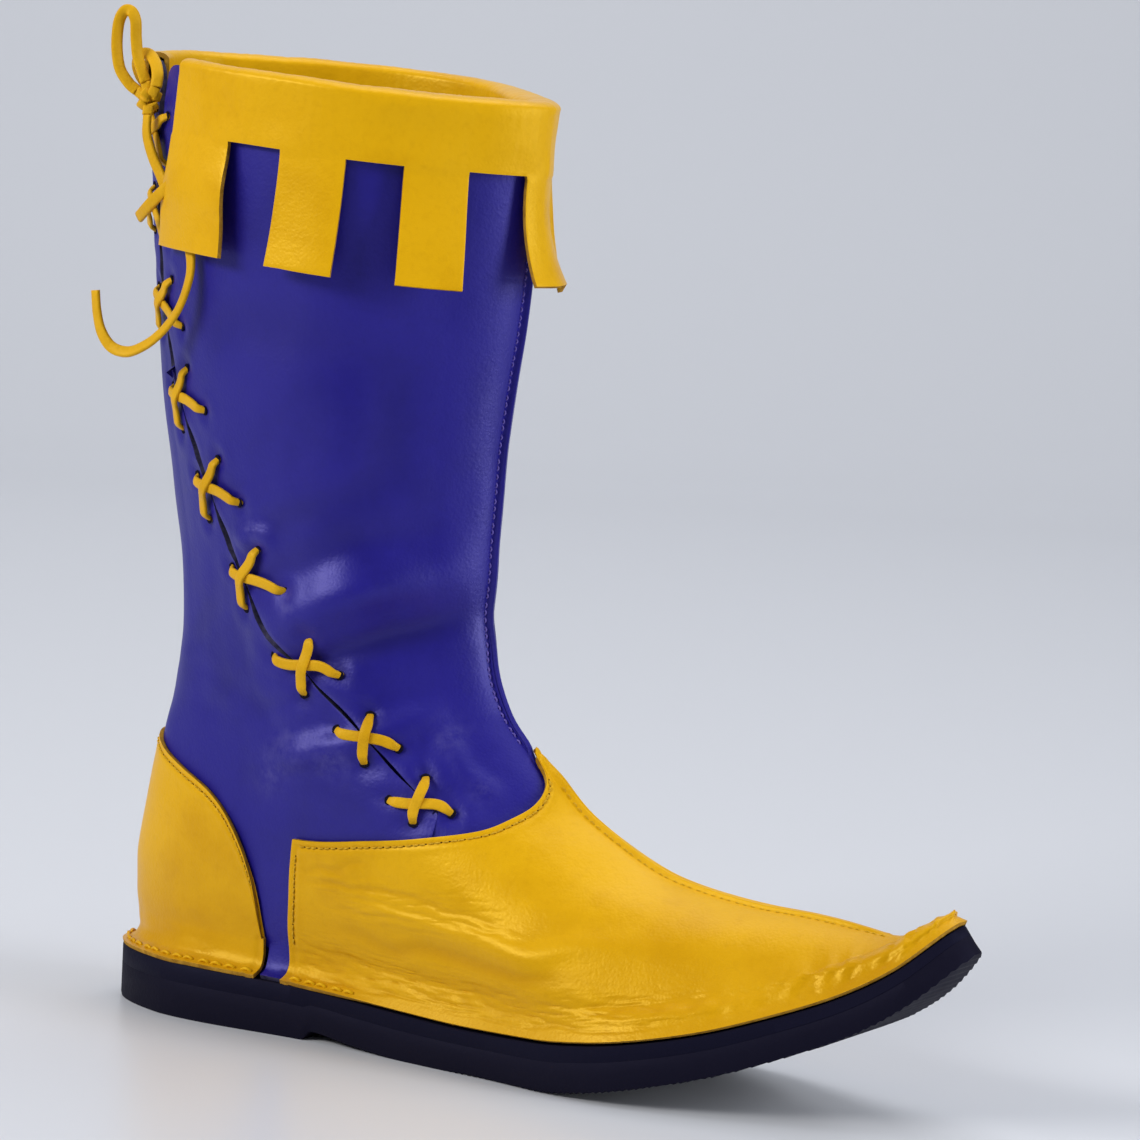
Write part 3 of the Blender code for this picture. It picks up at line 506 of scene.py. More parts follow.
def leather(name, colour, dark, light, scuff_and_highlight, tint, rough, grain=0.16, coat=0.0, shine=0.35):
    """Dyed smooth leather: cloudy tone, darker in creases as painted shade, pale patches that are partly scuffs and
    partly painted highlights, fine grain, uneven gloss.
    """
    made, tree, shader = new_material(name)
    place, tone = place_of(tree), tone_of(tree)
    cloud = cloudy(tree, place, 22.0, 5.0)
    speck = cloudy(tree, place, 420.0, 3.0)
    patch_noise = cloudy(tree, place, 190.0, 5.0, 0.7)
    base = blend(tree, cloud, 0.35, 0.7, 0.45, colour, light)
    base = blend(tree, cloud, 0.5, 0.3, 0.35, base, dark)
    base = blend(tree, speck, 0.5, 0.75, 0.12, base, dark)
    # Painted shade: darker where the tone is above zero, in creases, dimples, grooves and low on the panels
    base = blend(tree, tone, 0.0, 1.0, 0.75, base, dark)
    # Pale where the tone is below zero: scuffs, partly painted highlights
    patchy = blend(tree, patch_noise, 0.40, 0.68, 1.0, base, scuff_and_highlight)
    cells = add_node(tree, "ShaderNodeTexVoronoi", {"Vector": place, "Scale": 1050.0}, feature="SMOOTH_F1")
    fine = bump(tree, cells["Distance"], grain, 0.0004)
    feed(tree, shader, {
        "Base Color": blend(tree, tone, 0.0, -1.0, 0.4, base, patchy),
        "Roughness": ranged(tree, cloud, 0.3, 0.7, rough - 0.05, rough + 0.07),
        "Normal": bump(tree, cloudy(tree, place, 260.0, 6.0, 0.65), grain, 0.0010, fine),
        "Coat Weight": coat,
        "Coat Roughness": 0.32,
        "Specular IOR Level": shine,
        "Specular Tint": tint,
    })
    return made


def plain(name, colour, dark, rough, scale=300.0):
    """Raw edge, thread, hole or insole: two tones and a rough fibre."""
    made, tree, shader = new_material(name)
    fibre = cloudy(tree, place_of(tree), scale, 6.0, 0.7)
    feed(tree, shader, {
        "Base Color": blend(tree, fibre, 0.35, 0.7, 1.0, dark, colour),
        "Roughness": rough,
        "Normal": bump(tree, fibre, 0.25, 0.0006),
        "Specular IOR Level": 0.12,
    })
    return made


def rubber():
    """Dark rubber, a little bluer on the sole's upper layer."""
    made, tree, shader = new_material("sole_rubber_look")
    place = place_of(tree)
    cloud = cloudy(tree, place, 35.0, 6.0, 0.65)
    speck = cloudy(tree, place, 700.0, 3.0)
    base = blend(tree, cloud, 0.4, 0.7, 0.6, (0.0040, 0.0035, 0.0095), (0.0062, 0.0056, 0.0135))
    base = blend(tree, tone_of(tree), 0.0, 1.0, 0.6, base, (0.0042, 0.0042, 0.0140))
    feed(tree, shader, {
        "Base Color": blend(tree, speck, 0.62, 0.8, 0.2, base, (0.014, 0.014, 0.020)),
        "Roughness": ranged(tree, cloud, 0.3, 0.7, 0.55, 0.72),
        "Normal": bump(tree, speck, 0.25, 0.0005),
        "Specular IOR Level": 0.14,
        "Specular Tint": (0.55, 0.55, 1.0),
    })
    return made


YELLOW = leather("yellow_leather_look", (0.690, 0.365, 0.0030), (0.430, 0.185, 0.001), (0.750, 0.420, 0.008),
                 (0.800, 0.520, 0.080), (1.0, 0.72, 0.10), 0.35, shine=0.55)
INDIGO = leather("indigo_leather_look", (0.0080, 0.0047, 0.188), (0.0050, 0.0030, 0.085), (0.017, 0.0115, 0.228),
                 (0.110, 0.100, 0.300), (0.45, 0.43, 1.0), 0.42, grain=0.14, shine=0.72)
YELLOW_EDGE = plain("yellow_cut_edge", (0.50, 0.27, 0.030), (0.25, 0.12, 0.010), 0.85)
INDIGO_EDGE = plain("indigo_cut_edge", (0.070, 0.066, 0.120), (0.012, 0.010, 0.034), 0.85)
THONG = leather("lace_leather_look", (0.640, 0.340, 0.006), (0.320, 0.135, 0.002), (0.760, 0.430, 0.02),
                (0.780, 0.500, 0.080), (1.0, 0.72, 0.15), 0.46, grain=0.25, coat=0.02)
THREAD = plain("yellow_thread", (0.74, 0.46, 0.03), (0.48, 0.26, 0.01), 0.7, 1800.0)
LILAC = plain("lilac_thread", (0.17, 0.13, 0.48), (0.08, 0.06, 0.28), 0.6, 1800.0)
# Painted shade of the needle holes
NEEDLE_HOLE_SHADE = plain("needle_hole_shade", (0.130, 0.045, 0.002), (0.060, 0.020, 0.001), 1.0)
# Painted shadow in the punched lace holes round the thongs' ends
LACE_HOLE_SHADOW = plain("punched_hole_shadow", (0.010, 0.007, 0.020), (0.004, 0.003, 0.008), 1.0)
RUBBER = rubber()
TAN = plain("insole_leather_look", (0.42, 0.27, 0.14), (0.30, 0.18, 0.09), 0.75, 120.0)


# Pieces

def add_object(name, data):
    made = bpy.data.objects.new(name, data)
    bpy.context.scene.collection.objects.link(made)
    return made


def smooth_mesh(name, points, faces, looks):
    mesh = bpy.data.meshes.new(name)
    mesh.from_pydata(points, [], faces)
    mesh.polygons.foreach_set("use_smooth", np.ones(len(mesh.polygons), bool))
    for look in looks:
        mesh.materials.append(look)
    return mesh


def piece(name, points, faces, looks, slot, tone=None, replaced=()):
    """Mesh piece in millimetres that rides with the boot and stands for the named solids."""
    mesh = smooth_mesh(name, (np.asarray(points, float).reshape(-1, 3) * MM).tolist(), faces, looks)
    shade = mesh.attributes.new("tone", "FLOAT", "POINT")
    if tone is not None:
        shade.data.foreach_set("value", np.asarray(tone, np.float32).ravel())
    made = add_object(name, mesh)
    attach(made, "root")
    if replaced:
        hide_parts(*replaced)
    return made


def numbers(rows, columns, closed=False):
    """Numbers of a grid's points; a closed grid ends with its first column again."""
    index = np.arange(rows * columns).reshape(rows, columns)
    return np.concatenate([index, index[:, :1]], axis=1) if closed else index


def quads(index, keep=None):
    """Faces of a grid of point numbers; keep marks the cells that stay."""
    found = np.stack([index[:-1, :-1], index[:-1, 1:], index[1:, 1:], index[1:, :-1]], -1)
    return (found.reshape(-1, 4) if keep is None else found[keep]).tolist()


def give_thickness(made, thick, bevel=0.35):
    """Leather thickness behind a sheet's face, with softened cut edges of their own look."""
    set_all(made.modifiers.new("thickness", "SOLIDIFY"), thickness=thick * MM, offset=-1.0,
            use_even_offset=False, material_offset=0, material_offset_rim=1)
    set_all(made.modifiers.new("softened_edges", "BEVEL"), width=bevel * MM, segments=2,
            limit_method="ANGLE", angle_limit=radians(55))


def used_only(points, faces, tone):
    """Drops the points that no face uses."""
    faces = np.asarray(faces)
    used, fresh = np.unique(faces, return_inverse=True)
    flat = points.reshape(-1, 3)
    return flat[used], fresh.reshape(faces.shape).tolist(), np.asarray(tone).ravel()[used]


# Lace places

WAY_GAP = 3.0


def lace_frame(x, height):
    """Place, outward way, way up the slit and way across it, on the outer side."""
    def slit_at(h):
        return skin(-angle_at(h, line(SLIT, h)), h)

    angle = -angle_at(height, x)
    here = skin(angle, height)
    out = unit(np.cross(skin(angle + 0.02, height) - here, skin(angle, height + 1.0) - here))
    up = slit_at(height + WAY_GAP) - slit_at(height - WAY_GAP)
    up = unit(up - out * np.dot(up, out))
    return here, out, up, np.cross(up, out)


def surface_lift(points, out):
    """Distance along a direction from points to the upper's outer face."""
    best = np.zeros(len(points))
    for _ in range(8):
        probe = points + out * best[:, None]
        section = section_at(probe[:, 2] - sole_top(probe[:, 0]))
        y = plan_point(section, -angle_of(section, probe[:, 0]))[1]
        best += (probe[:, 1] - y) * abs(out[1])
    return best


def strap_routes(number):
    """Routes of the upper and the lower thong of a crossing, across and along the slit."""
    size = np.array(CROSSINGS[number - 1][2:])
    over = np.array(OVER_ROUTES.get(number, np.array(OVER_SHARES) * size))
    under = np.array(UNDER_ROUTES.get(number, np.array(UNDER_SHARES) * size))
    return over, under


def lace_holes():
    """Centres of the punched holes, four to a crossing, with the outward way and the way a thong enters."""
    found = []
    for (here, out, up, beside), routes in PLACES:
        for route in routes:
            for end, before in ((route[0], route[1]), (route[-1], route[-2])):
                spot = here + beside * end[0] + up * end[1]
                spot = spot + out * surface_lift(spot[None], out)[0]
                found.append((spot, out, beside * (end - before)[0] + up * (end - before)[1]))
    return found


PLACES = [(lace_frame(*row[:2]), strap_routes(number)) for number, row in enumerate(CROSSINGS, 1)]
HOLES = lace_holes()


# Upper

FOOT_SHARES = np.linspace(0.0, 1.0, 9)[:-1]
UPPER_ROWS = 150
FRONT_COLUMNS = 92
INNER_COLUMNS = 74
REAR_COLUMNS = 44
FIN_ANGLES = np.array([-0.095, -0.087, -0.079, -0.070, -0.061, -0.03, 0.0, 0.03, 0.061, 0.070, 0.079, 0.087])
# Turn used for measuring, where the inner side starts, and how a crossing draws the slit together
SMALL_TURN = 0.01
INNER_START = 0.55
HELD_REACH = 7.5
HELD_SHARE = 0.85
# Strip of the upper that shows on the sole between counter and vamp
STRIP_REAR = (14.0, 17.5)
STRIP_FRONT = (31.0, 28.0)
# Waves of the shaft, folds on its inner side, dimples and swells round the lace holes
SHAFT_MIDDLE = 20.0
SLOW_WAVE = 0.55
MIDDLE_WAVE = 0.22
SMALL_WAVE = 0.12
INNER_FOLDS = 0.75
DIMPLE_DEPTH = 0.8
DIMPLE_REACH = 2.6
SWELL_RISE = 0.30
SWELL_FROM_HOLE = 5.5
SWELL_REACH = 2.4
# Reach of the pale band along the slit's edges: wear and a painted highlight
PALE_EDGE_REACH = 1.3


def upper_angles(height):
    """Angles of every row, from the slit forward round to the slit again."""
    section = section_at(height)
    slit = angle_of(section, line(SLIT, height))
    inner_x = section[:, 0] + INNER_START * (section[:, 1] - section[:, 0])
    inner = angle_of(section, np.minimum(MIDDLE_LINE, inner_x))
    per_angle = np.linalg.norm(skin(-slit + SMALL_TURN, height) - skin(-slit, height), axis=-1) / SMALL_TURN
    held = sum(bell(height, row[1], HELD_REACH) for row in CROSSINGS)
    gap = line(SLIT_GAP, height) * (1 - HELD_SHARE * np.clip(held, 0, 1))
    opening = np.where(height > SLIT_END, gap / per_angle, 0.0)
    middle = line(FIN_MIDDLE, height)
    back = np.full_like(height, pi)

    def between(start, end, count, whole=False):
        return start[:, None] + (end - start)[:, None] * np.linspace(0, 1, count, endpoint=whole)

    return np.concatenate([
        between(opening - slit, middle - FIN_BASE_ANGLE, FRONT_COLUMNS),
        middle[:, None] + FIN_ANGLES,
        between(middle + FIN_BASE_ANGLE, inner, INNER_COLUMNS),
        between(inner, back, REAR_COLUMNS),
        between(-back, -slit - opening, REAR_COLUMNS, True),
    ], axis=1)


def upper_heights(angle, height):
    """Heights of the grid, drawn up to the rim and round its corners at the slit."""
    rim_x = plan_point(section_at(RIM_BACK), angle[-1])[0]
    run = run_along(skin(angle[-1], RIM_BACK))
    inside = np.clip(CORNER_ROUND - np.minimum(run, run[-1] - run), 0, None)
    drop = CORNER_ROUND - np.sqrt(CORNER_ROUND ** 2 - inside ** 2)
    share = (height - FIRST_HEIGHT) / (height[-1] - FIRST_HEIGHT)
    return FIRST_HEIGHT + (rim_height(rim_x) - drop - FIRST_HEIGHT) * share[:, None]


def shaft_relief(points, height):
    """Rise of the shaft's leather, and the folds and the dimples round the lace holes in it."""
    x, y = points[..., 0], points[..., 1]
    turn = np.arctan2(y, x - SHAFT_MIDDLE)
    slow = SLOW_WAVE * noise(turn * 2.2 + 3, height / 46.0, 1)
    middling = MIDDLE_WAVE * noise(turn * 5.0, height / 19.0, 2) * (1 + 1.2 * step(190, 120, height))
    folds = creases(x, height, SHAFT_CREASES) * np.where(y < 0, 1.0, INNER_FOLDS)
    small = SMALL_WAVE * noise(x / 7.0 + height / 26.0, height / 5.0 - x / 20.0, 5)
    small = small * step(60, 90, height) * step(150, 105, height)
    dimples = np.zeros_like(x)
    for spot, _, _ in HOLES:
        gap = np.linalg.norm(points - spot, axis=-1)
        dimples += SWELL_RISE * bell(gap, SWELL_FROM_HOLE, SWELL_REACH) - DIMPLE_DEPTH * bell(gap, 0, DIMPLE_REACH)
    return slow + middling + folds + small + dimples, folds, dimples


def fin_profile(angle):
    return step(FIN_BASE_ANGLE, FIN_TOP_ANGLE, np.abs(angle))


def scuffs_and_highlights(points, height):
    """Pale places from 0 to 1: scuffs of the outer side that are partly painted highlights, and the slit's rubbed
    edges, worn and partly a painted highlight.
    """
    x, y = points[..., 0], points[..., 1]
    scuffed_and_lit = sum(bell(np.hypot(x - sx, height - sh), 0, size) for sx, sh, size in SCUFFS_AND_HIGHLIGHTS) * (y < 0)
    run = run_along(points, 1)
    edge = np.minimum(run, run[:, -1:] - run)
    return 0.9 * scuffed_and_lit + 0.8 * bell(edge, 0, PALE_EDGE_REACH) * (height > SLIT_END)


def make_upper():
    """Shaft and foot in one sheet, closed under the slit's end, with the front seam raised."""
    height = np.linspace(FIRST_HEIGHT, 0.5 * (RIM_BACK + RIM_FRONT), UPPER_ROWS)
    angle = upper_angles(height)
    real = upper_heights(angle, height)
    x = skin(angle[0], FIRST_HEIGHT)[:, 0]
    covered = 1 - step(*STRIP_REAR, x) * step(*STRIP_FRONT, x)
    points = panel_points(angle, real, 0.0, FOOT_SHARES, TUCK * covered, UPPER_TURN)
    tall = with_foot(FIRST_HEIGHT * FOOT_SHARES[:, None], real, len(FOOT_SHARES))
    lift, folds, dimples = shaft_relief(points, tall)
    way = normals(points)
    points = points + way * (lift * step(14, 40, tall))[..., None]
    from_fin = with_foot(angle[:1], angle - line(FIN_MIDDLE, height)[:, None], len(FOOT_SHARES))
    seam = fin_profile(from_fin) * step(*FIN_LOW, tall) * step(*FIN_HIGH, tall)
    points[..., 0] += FIN_RISE * seam
    # Painted shade in the troughs of the folds, in the dimples round the lace holes and on the flanks of the raised
    # front seam; below zero are the pale scuffs and painted highlights
    tone = np.clip(-folds * 0.35 - dimples * 0.5, 0, 1) + 0.35 * seam * (1 - seam) - scuffs_and_highlights(points, tall)
    index = numbers(*points.shape[:2])
    closed = tall[:, 0] <= SLIT_END
    index[closed, -1] = index[closed, 0]
    flat, faces, tone = used_only(points, quads(index), tone)
    made = piece("upper_leather", flat, faces, [INDIGO, INDIGO_EDGE], "indigo_leather", tone, ["upper"])
    give_thickness(made, WALL)
    return points, way


# Vamp and heel counter

# Rows of the foot, fine steps at an edge, the seam's line and groove, and the ridge
OVERLAY_FOOT_ROWS = 28
EDGE_REACH = 3.5
STITCH_INSET = 2.2
GROOVE_DEPTH = 0.28
RIDGE_WAY = np.array([1.6, 0.0, 1.2])
RIDGE_FROM = (12, 26)
PEAK_FROM = (79, 88)


def edge_shares(count, span):
    """Shares from 0 to 1 of a span, with close steps over the reach at its end."""
    fine = 1 - np.linspace(EDGE_REACH / span, 0, 9)
    return np.concatenate([np.linspace(0, fine[0], count, endpoint=False), fine])


def flange_ripple(points, height, x):
    """Puckers where the leather is drawn out over the sole, stronger near the toe tip."""
    tip = step(160, 230, x) * (1 - 0.7 * step(252, 268, x))
    ripple = noise(run_along(points, 1) / 2.0, height / 12.0, 21) * (0.12 + 0.8 * tip)
    return ripple * step(20, 6, height) * step(0.8, 3.5, height)


def furrows(values):
    """Narrow grooves along the zero lines of a noise."""
    return -np.clip(1 - 2.4 * np.abs(values), 0, 1) ** 2


def vamp_wrinkles(x, height):
    """Fine crossing wrinkles along the lower side of the foot and across its middle."""
    low = step(24, 9, height) * step(1.5, 3.5, height) * step(18, 40, x) * step(215, 150, x)
    drift = noise(x / 9.0, height / 8.0, 33)
    lines = furrows(noise(x / 11.0 + height / 7.0, height / 2.1 + 0.7 * drift, 31))
    lines = lines + 0.6 * furrows(noise(x / 5.0, height / 1.3 + 0.8 * drift, 38))
    middle = bell(height, 36, 8.0) * step(35, 55, x) * step(130, 100, x)
    fine = furrows(noise(x / 8.0, height / 1.7 + 0.9 * noise(x / 7.0, height / 6.0, 35), 34))
    return 0.46 * lines * low + 0.30 * fine * middle


def vamp_grid():
    """Angles and heights of the vamp; its top line is found by closing in on it."""
    columns = edge_shares(122, 130.0)
    columns = np.concatenate([-columns[::-1], [-0.02, 0.0, 0.02], columns[1:]])
    columns = np.unique(np.concatenate([columns, FIN_ANGLES / 1.9]))
    top = np.full(len(columns), 60.0)

    def rear(height):
        return angle_at(height, line(VAMP_REAR, height))

    for _ in range(12):
        top = 0.5 * top + 0.5 * line(VAMP_TOP, np.degrees(np.abs(columns) * rear(top)))
    height = FIRST_HEIGHT + (top - FIRST_HEIGHT) * edge_shares(115, 45.0)[:, None]
    return columns * rear(height), height


def counter_grid():
    """Angles and heights of the heel counter, found in the same way."""
    shares = edge_shares(46, 60.0)
    turn = np.concatenate([-shares[::-1], shares[1:]])
    top = np.full(len(turn), 40.0)

    def angles(height):
        ends = angle_at(height, line(COUNTER_FRONT, height))
        return np.where(turn < 0, ends + (pi - ends) * (1 + turn), -pi + (pi - ends) * turn)

    for _ in range(40):
        x = plan_point(section_at(top), angles(top))[0]
        top = np.maximum(0.7 * top + 0.3 * line(COUNTER_TOP, x), FIRST_HEIGHT + 1.0)
    height = FIRST_HEIGHT + (top - FIRST_HEIGHT) * edge_shares(46, 55.0)[:, None]
    return angles(height), height


def overlay_piece(name, angle, height, node, ridge):
    """Leather panel on the upper from its turned out edge up to a top line."""
    shares = np.linspace(0.0, 1.0, OVERLAY_FOOT_ROWS + 1)[:-1]
    points = panel_points(angle, height, OVERLAY_GAP + OVERLAY, shares)
    tall = with_foot(FIRST_HEIGHT * shares[:, None] ** 1.6, height, OVERLAY_FOOT_ROWS)
    x, y = points[..., 0], points[..., 1]
    way = normals(points)
    from_top = run_along(points[::-1])[::-1]
    from_ends = np.minimum(run_along(points, 1), run_along(points[:, ::-1], 1)[:, ::-1])
    edge = np.minimum(from_top, from_ends)
    groove = -GROOVE_DEPTH * bell(edge, STITCH_INSET, 0.7) + 0.12 * bell(edge, 4.2, 1.2)
    slow = 0.30 * noise(x / 24.0 + 2, tall / 17.0 + np.sign(y) * 3, 41) * step(6, 20, tall)
    folds = creases(x, tall, VAMP_CREASES) if ridge else np.zeros_like(x)
    wrinkles = vamp_wrinkles(x, tall) if ridge else 0.12 * noise(x / 9, tall / 2.4, 44) * step(26, 8, tall)
    lift = groove + slow + (folds + wrinkles + flange_ripple(points, tall, x)) * step(0.5, 5.0, edge)
    points = points + way * lift[..., None]
    if ridge:
        rise = fin_profile(with_foot(angle[:1], angle, OVERLAY_FOOT_ROWS)) * step(*RIDGE_FROM, tall)
        rise = rise * (1 - 0.6 * step(*PEAK_FROM, tall))
        points = points + rise[..., None] * RIDGE_WAY
    # Painted shade in the troughs of the folds and wrinkles and in the stitch groove; the panel is also darker on its
    # flange and towards the bottom
    tone = np.clip(-0.6 * (folds + wrinkles) - groove * 0.6, 0, 1)
    tone = tone + 0.2 * step(5, 0, tall) + 0.35 * step(44, 14, tall)
    faces = quads(numbers(*points.shape[:2]))
    made = piece(name, points, faces, [YELLOW, YELLOW_EDGE], "yellow_leather", tone, [node])
    give_thickness(made, OVERLAY)
    return points, way


# Cuff

# Rows and cells of the grid
TAB_ROWS = 28
TAB_CELLS = 22
BAND_ROWS = 16
FOLD_ROWS = 13
INSIDE_ROWS = 14
FOLD_START = 2.0
# Share of each lace end that lies under the near tab, and how the tab lies over it
UNDER_TAB = {"lace_end_long": 0.55, "lace_end_short": 0.4}
LACE_REACH = 4.0
LACE_CLEAR = 0.5
SMOOTHED_ROWS = 11


def cuff_edges():
    """Angles of the tab edges once round, from the slit's front side to its back side."""
    section = section_at(CUFF_LEVEL)
    slit = float(angle_of(section, line(SLIT, CUFF_LEVEL)))
    angles = np.linspace(-slit, 2 * pi - slit, 721)
    run = run_along(np.stack(plan_point(section, np.where(angles > pi, angles - 2 * pi, angles)), -1))
    outer = np.interp(np.radians(OUTER_TAB_EDGES[::-1]), angles, run)
    edges = [NEAR_END_FROM_SLIT, *outer, outer[-1] + TAB_WIDTH]
    left = run[-1] - FAR_END_FROM_SLIT - edges[-1]
    pairs = round(left / (TAB_WIDTH + NOTCH_WIDTH))
    fit = left / (pairs * (TAB_WIDTH + NOTCH_WIDTH))
    for width in (NOTCH_WIDTH, TAB_WIDTH) * pairs:
        edges.append(edges[-1] + width * fit)
    return np.interp(edges, run, angles)


def cuff_columns():
    """Angle of every column of the cuff, once round and within a turn, and how it hangs."""
    edges = cuff_edges()
    spans = len(edges) - 1
    shares = np.linspace(0, 1, TAB_CELLS, endpoint=False)
    angle = np.concatenate([a + (b - a) * shares for a, b in zip(edges[:-1], edges[1:])] + [edges[-1:]])
    span = np.minimum(np.arange(len(angle)) // TAB_CELLS, spans - 1)
    within = np.append(np.tile(shares, spans), 1.0)
    near = angle <= edges[1] + 1e-6
    within[near] = np.linspace(0, 1, near.sum())
    span[near] = 0
    turned = np.where(angle > pi, angle - 2 * pi, angle)
    front = np.abs(turned) <= FRONT_HALF_ANGLE
    rear = np.abs(turned) > REAR_FROM
    low, high = NEAR_TAB_STAND_OFF
    stands = [low + (high - low) * within, FRONT_TAB_STAND_OFF, REAR_TAB_STAND_OFF]
    stand = np.select([near, front, rear], stands, TAB_STAND_OFF)
    bend = np.select([near, front], [NEAR_TAB_BEND, FRONT_TAB_BEND], TAB_BEND)
    drop = np.where(front, FRONT_TAB_DROP, TAB_DROP)
    lean = np.radians(NEAR_END_LEAN) * near * (1 - within)
    sway = np.radians(np.interp(span // 2 + span % 2 * within, range(len(TAB_SWAY)), TAB_SWAY))
    return angle, turned, lean, sway, stand, bend, drop


def over_lace(points, way):
    """How far the near tab rises to lie over the ends of the lace under it."""
    rise = np.zeros(points.shape[:2])
    for name, hidden in UNDER_TAB.items():
        path = through(CORDS[name], np.linspace(0, hidden, 90))
        gap = points[:, :, None] - path
        height = np.einsum("ijkn,ijn->ijk", gap, way)
        beside = (gap ** 2).sum(-1) - height ** 2
        needed = np.clip(THONG_THICK / 2 + CUFF_LEATHER + LACE_CLEAR - height, 0, 3)
        rise = np.maximum(rise, (needed * np.exp(-beside / LACE_REACH ** 2)).max(-1))
    half = SMOOTHED_ROWS // 2
    rise = np.pad(np.maximum.accumulate(rise, axis=1), ((half, half), (0, 0)), mode="edge")
    return sum(rise[i:i + len(points)] for i in range(SMOOTHED_ROWS)) / SMOOTHED_ROWS


def cuff_rows(angle, turned, lean, sway, stand, bend, drop_to):
    """Angle, distance out and height above the rim of every row: up the outside, over the fold, down the inside."""
    face = CUFF_CLEAR + CUFF_LEATHER
    half = WALL / 2 + face
    for share in np.linspace(1, 0, TAB_ROWS, endpoint=False):
        drop = BAND_DROP + (drop_to - BAND_DROP) * share
        place = turned + lean * (1 - drop / drop_to) + sway * share ** 1.5
        yield place, face + stand * share ** bend, -drop
    for drop in np.linspace(BAND_DROP, FOLD_START, BAND_ROWS):
        puff = 0.35 * noise(angle * 4.0, np.full_like(angle, drop / 11.0), 51)
        yield turned + lean * (1 - drop / drop_to), face + puff, -drop
    for turn in np.linspace(0, pi, FOLD_ROWS):
        yield turned + lean, half * cos(turn) - WALL / 2, FOLD_RISE * sin(turn)
    for drop in np.linspace(FOLD_START, INSIDE_DROP, INSIDE_ROWS):
        yield turned + lean, -WALL - face, -drop


def make_cuff():
    """Cuff folded over the rim: tabs and band outside, a plain band inside."""
    columns = cuff_columns()
    angle, turned = columns[:2]
    rim = rim_height(plan_point(section_at(CUFF_LEVEL), turned)[0])
    points = np.array([skin(place, rim + up, out) for place, out, up in cuff_rows(*columns)])
    cell = np.arange(len(angle) - 1) // TAB_CELLS
    keep = np.ones((len(points) - 1, len(cell)), bool)
    keep[:TAB_ROWS] = (cell % 2 == 0) & (cell < cell[-1])
    z = points[..., 2]
    pleats = 0.10 * noise(angle[None] * 60.0, z / 8.0, 53) * step(290, 305, z)
    lift = 0.22 * noise(angle[None] * 6.0, z / 13.0, 52) + pleats
    points = points + normals(points) * lift[..., None]
    near_tab = points[:TAB_ROWS + 4, :TAB_CELLS + 1]
    way = normals(near_tab)
    near_tab += way * over_lace(near_tab, way)[..., None]
    faces = quads(numbers(*points.shape[:2]), keep)
    flat, faces, tone = used_only(points, faces, np.zeros(points.shape[:2]))
    made = piece("cuff_leather", flat, faces, [YELLOW, YELLOW_EDGE], "yellow_leather", tone, ["cuff"])
    give_thickness(made, CUFF_LEATHER, 0.3)


# Sole

TREAD_PITCH = 2.4
TREAD_DEPTH = 0.7
TREAD_FROM = (95, 110)
SOLE_STATIONS = 420
TOE_FROM = 120
# Rows of the sole's side: share of its height from the top, inset, tone
SOLE_LAYERS = [
    (0.0, 0.45, 0.0), (0.03, 0.0, 1.0), (0.33, 0.0, 1.0), (0.345, 0.16, 0.5),
    (0.36, 0.0, 0.0), (0.6, 0.0, 0.0), (0.94, 0.0, 0.0), (1.0, 0.4, 0.0),
]


def make_sole():
    """Rubber slab: bevelled rim, a fine line between its two layers and a toothed forefoot."""
    half = np.linspace(0, pi, SOLE_STATIONS)
    ring = np.concatenate([half, -half[1:-1][::-1]])
    n = len(ring)
    x, y = plan_point(SOLE_OUTLINE, np.where(ring == 0, TINY, ring))
    z_top, x_low, z_low = smooth_line(PROFILE, x).T
    top = np.stack([x, y, z_top], -1)
    bottom = np.stack([x_low, y, np.maximum(z_low, 0.0)], -1)
    teeth = (x_low / TREAD_PITCH) % 1.0
    teeth = TREAD_DEPTH * np.minimum(teeth, 1 - teeth) * 2 * step(*TREAD_FROM, x)
    inward = unit(np.stack([np.where(x > TOE_FROM, -0.2, 0.1), -np.sign(y), 0 * y], -1))
    rows = []
    for share, inset, _ in SOLE_LAYERS:
        row = top + (bottom - top) * share + inward * inset
        row[:, 2] += teeth * step(0.8, 1.0, share)
        rows.append(row)
    tone = np.repeat([layer[2] for layer in SOLE_LAYERS], n)
    faces = [face[::-1] for face in quads(numbers(len(rows), n, closed=True))]
    for base, turn in ((0, 1), ((len(rows) - 1) * n, -1)):
        for i in range(SOLE_STATIONS - 1):
            corners = (base + i, base + i + 1, base + (n - i - 1) % n, base + (n - i) % n)
            loop = list(dict.fromkeys(corners))
            if len(loop) > 2:
                faces.append(loop[::turn])
    made = piece("outsole_rubber", rows, faces, [RUBBER], "sole_rubber", tone, ["outsole"])
    set_all(made.modifiers.new("crisp", "EDGE_SPLIT"), split_angle=radians(40))


# Stitches

# Pitch and thread of the seams, and where they run
PANEL_PITCH = 2.7
PANEL_THREAD = 0.65
RIDGE_PITCH = 3.0
RIDGE_THREAD = 0.45
RIDGE_STITCH_ANGLE = 0.088
PEAK_CLEAR_ANGLE = 0.11
FRONT_SEAM_ROWS = slice(48, 152)
FLANGE_PITCH = 5.8
FLANGE_THREAD = 1.3
FLANGE_STITCH_END = 62.0
FLANGE_STITCH_ROW = 6
STITCH_POINTS = 7


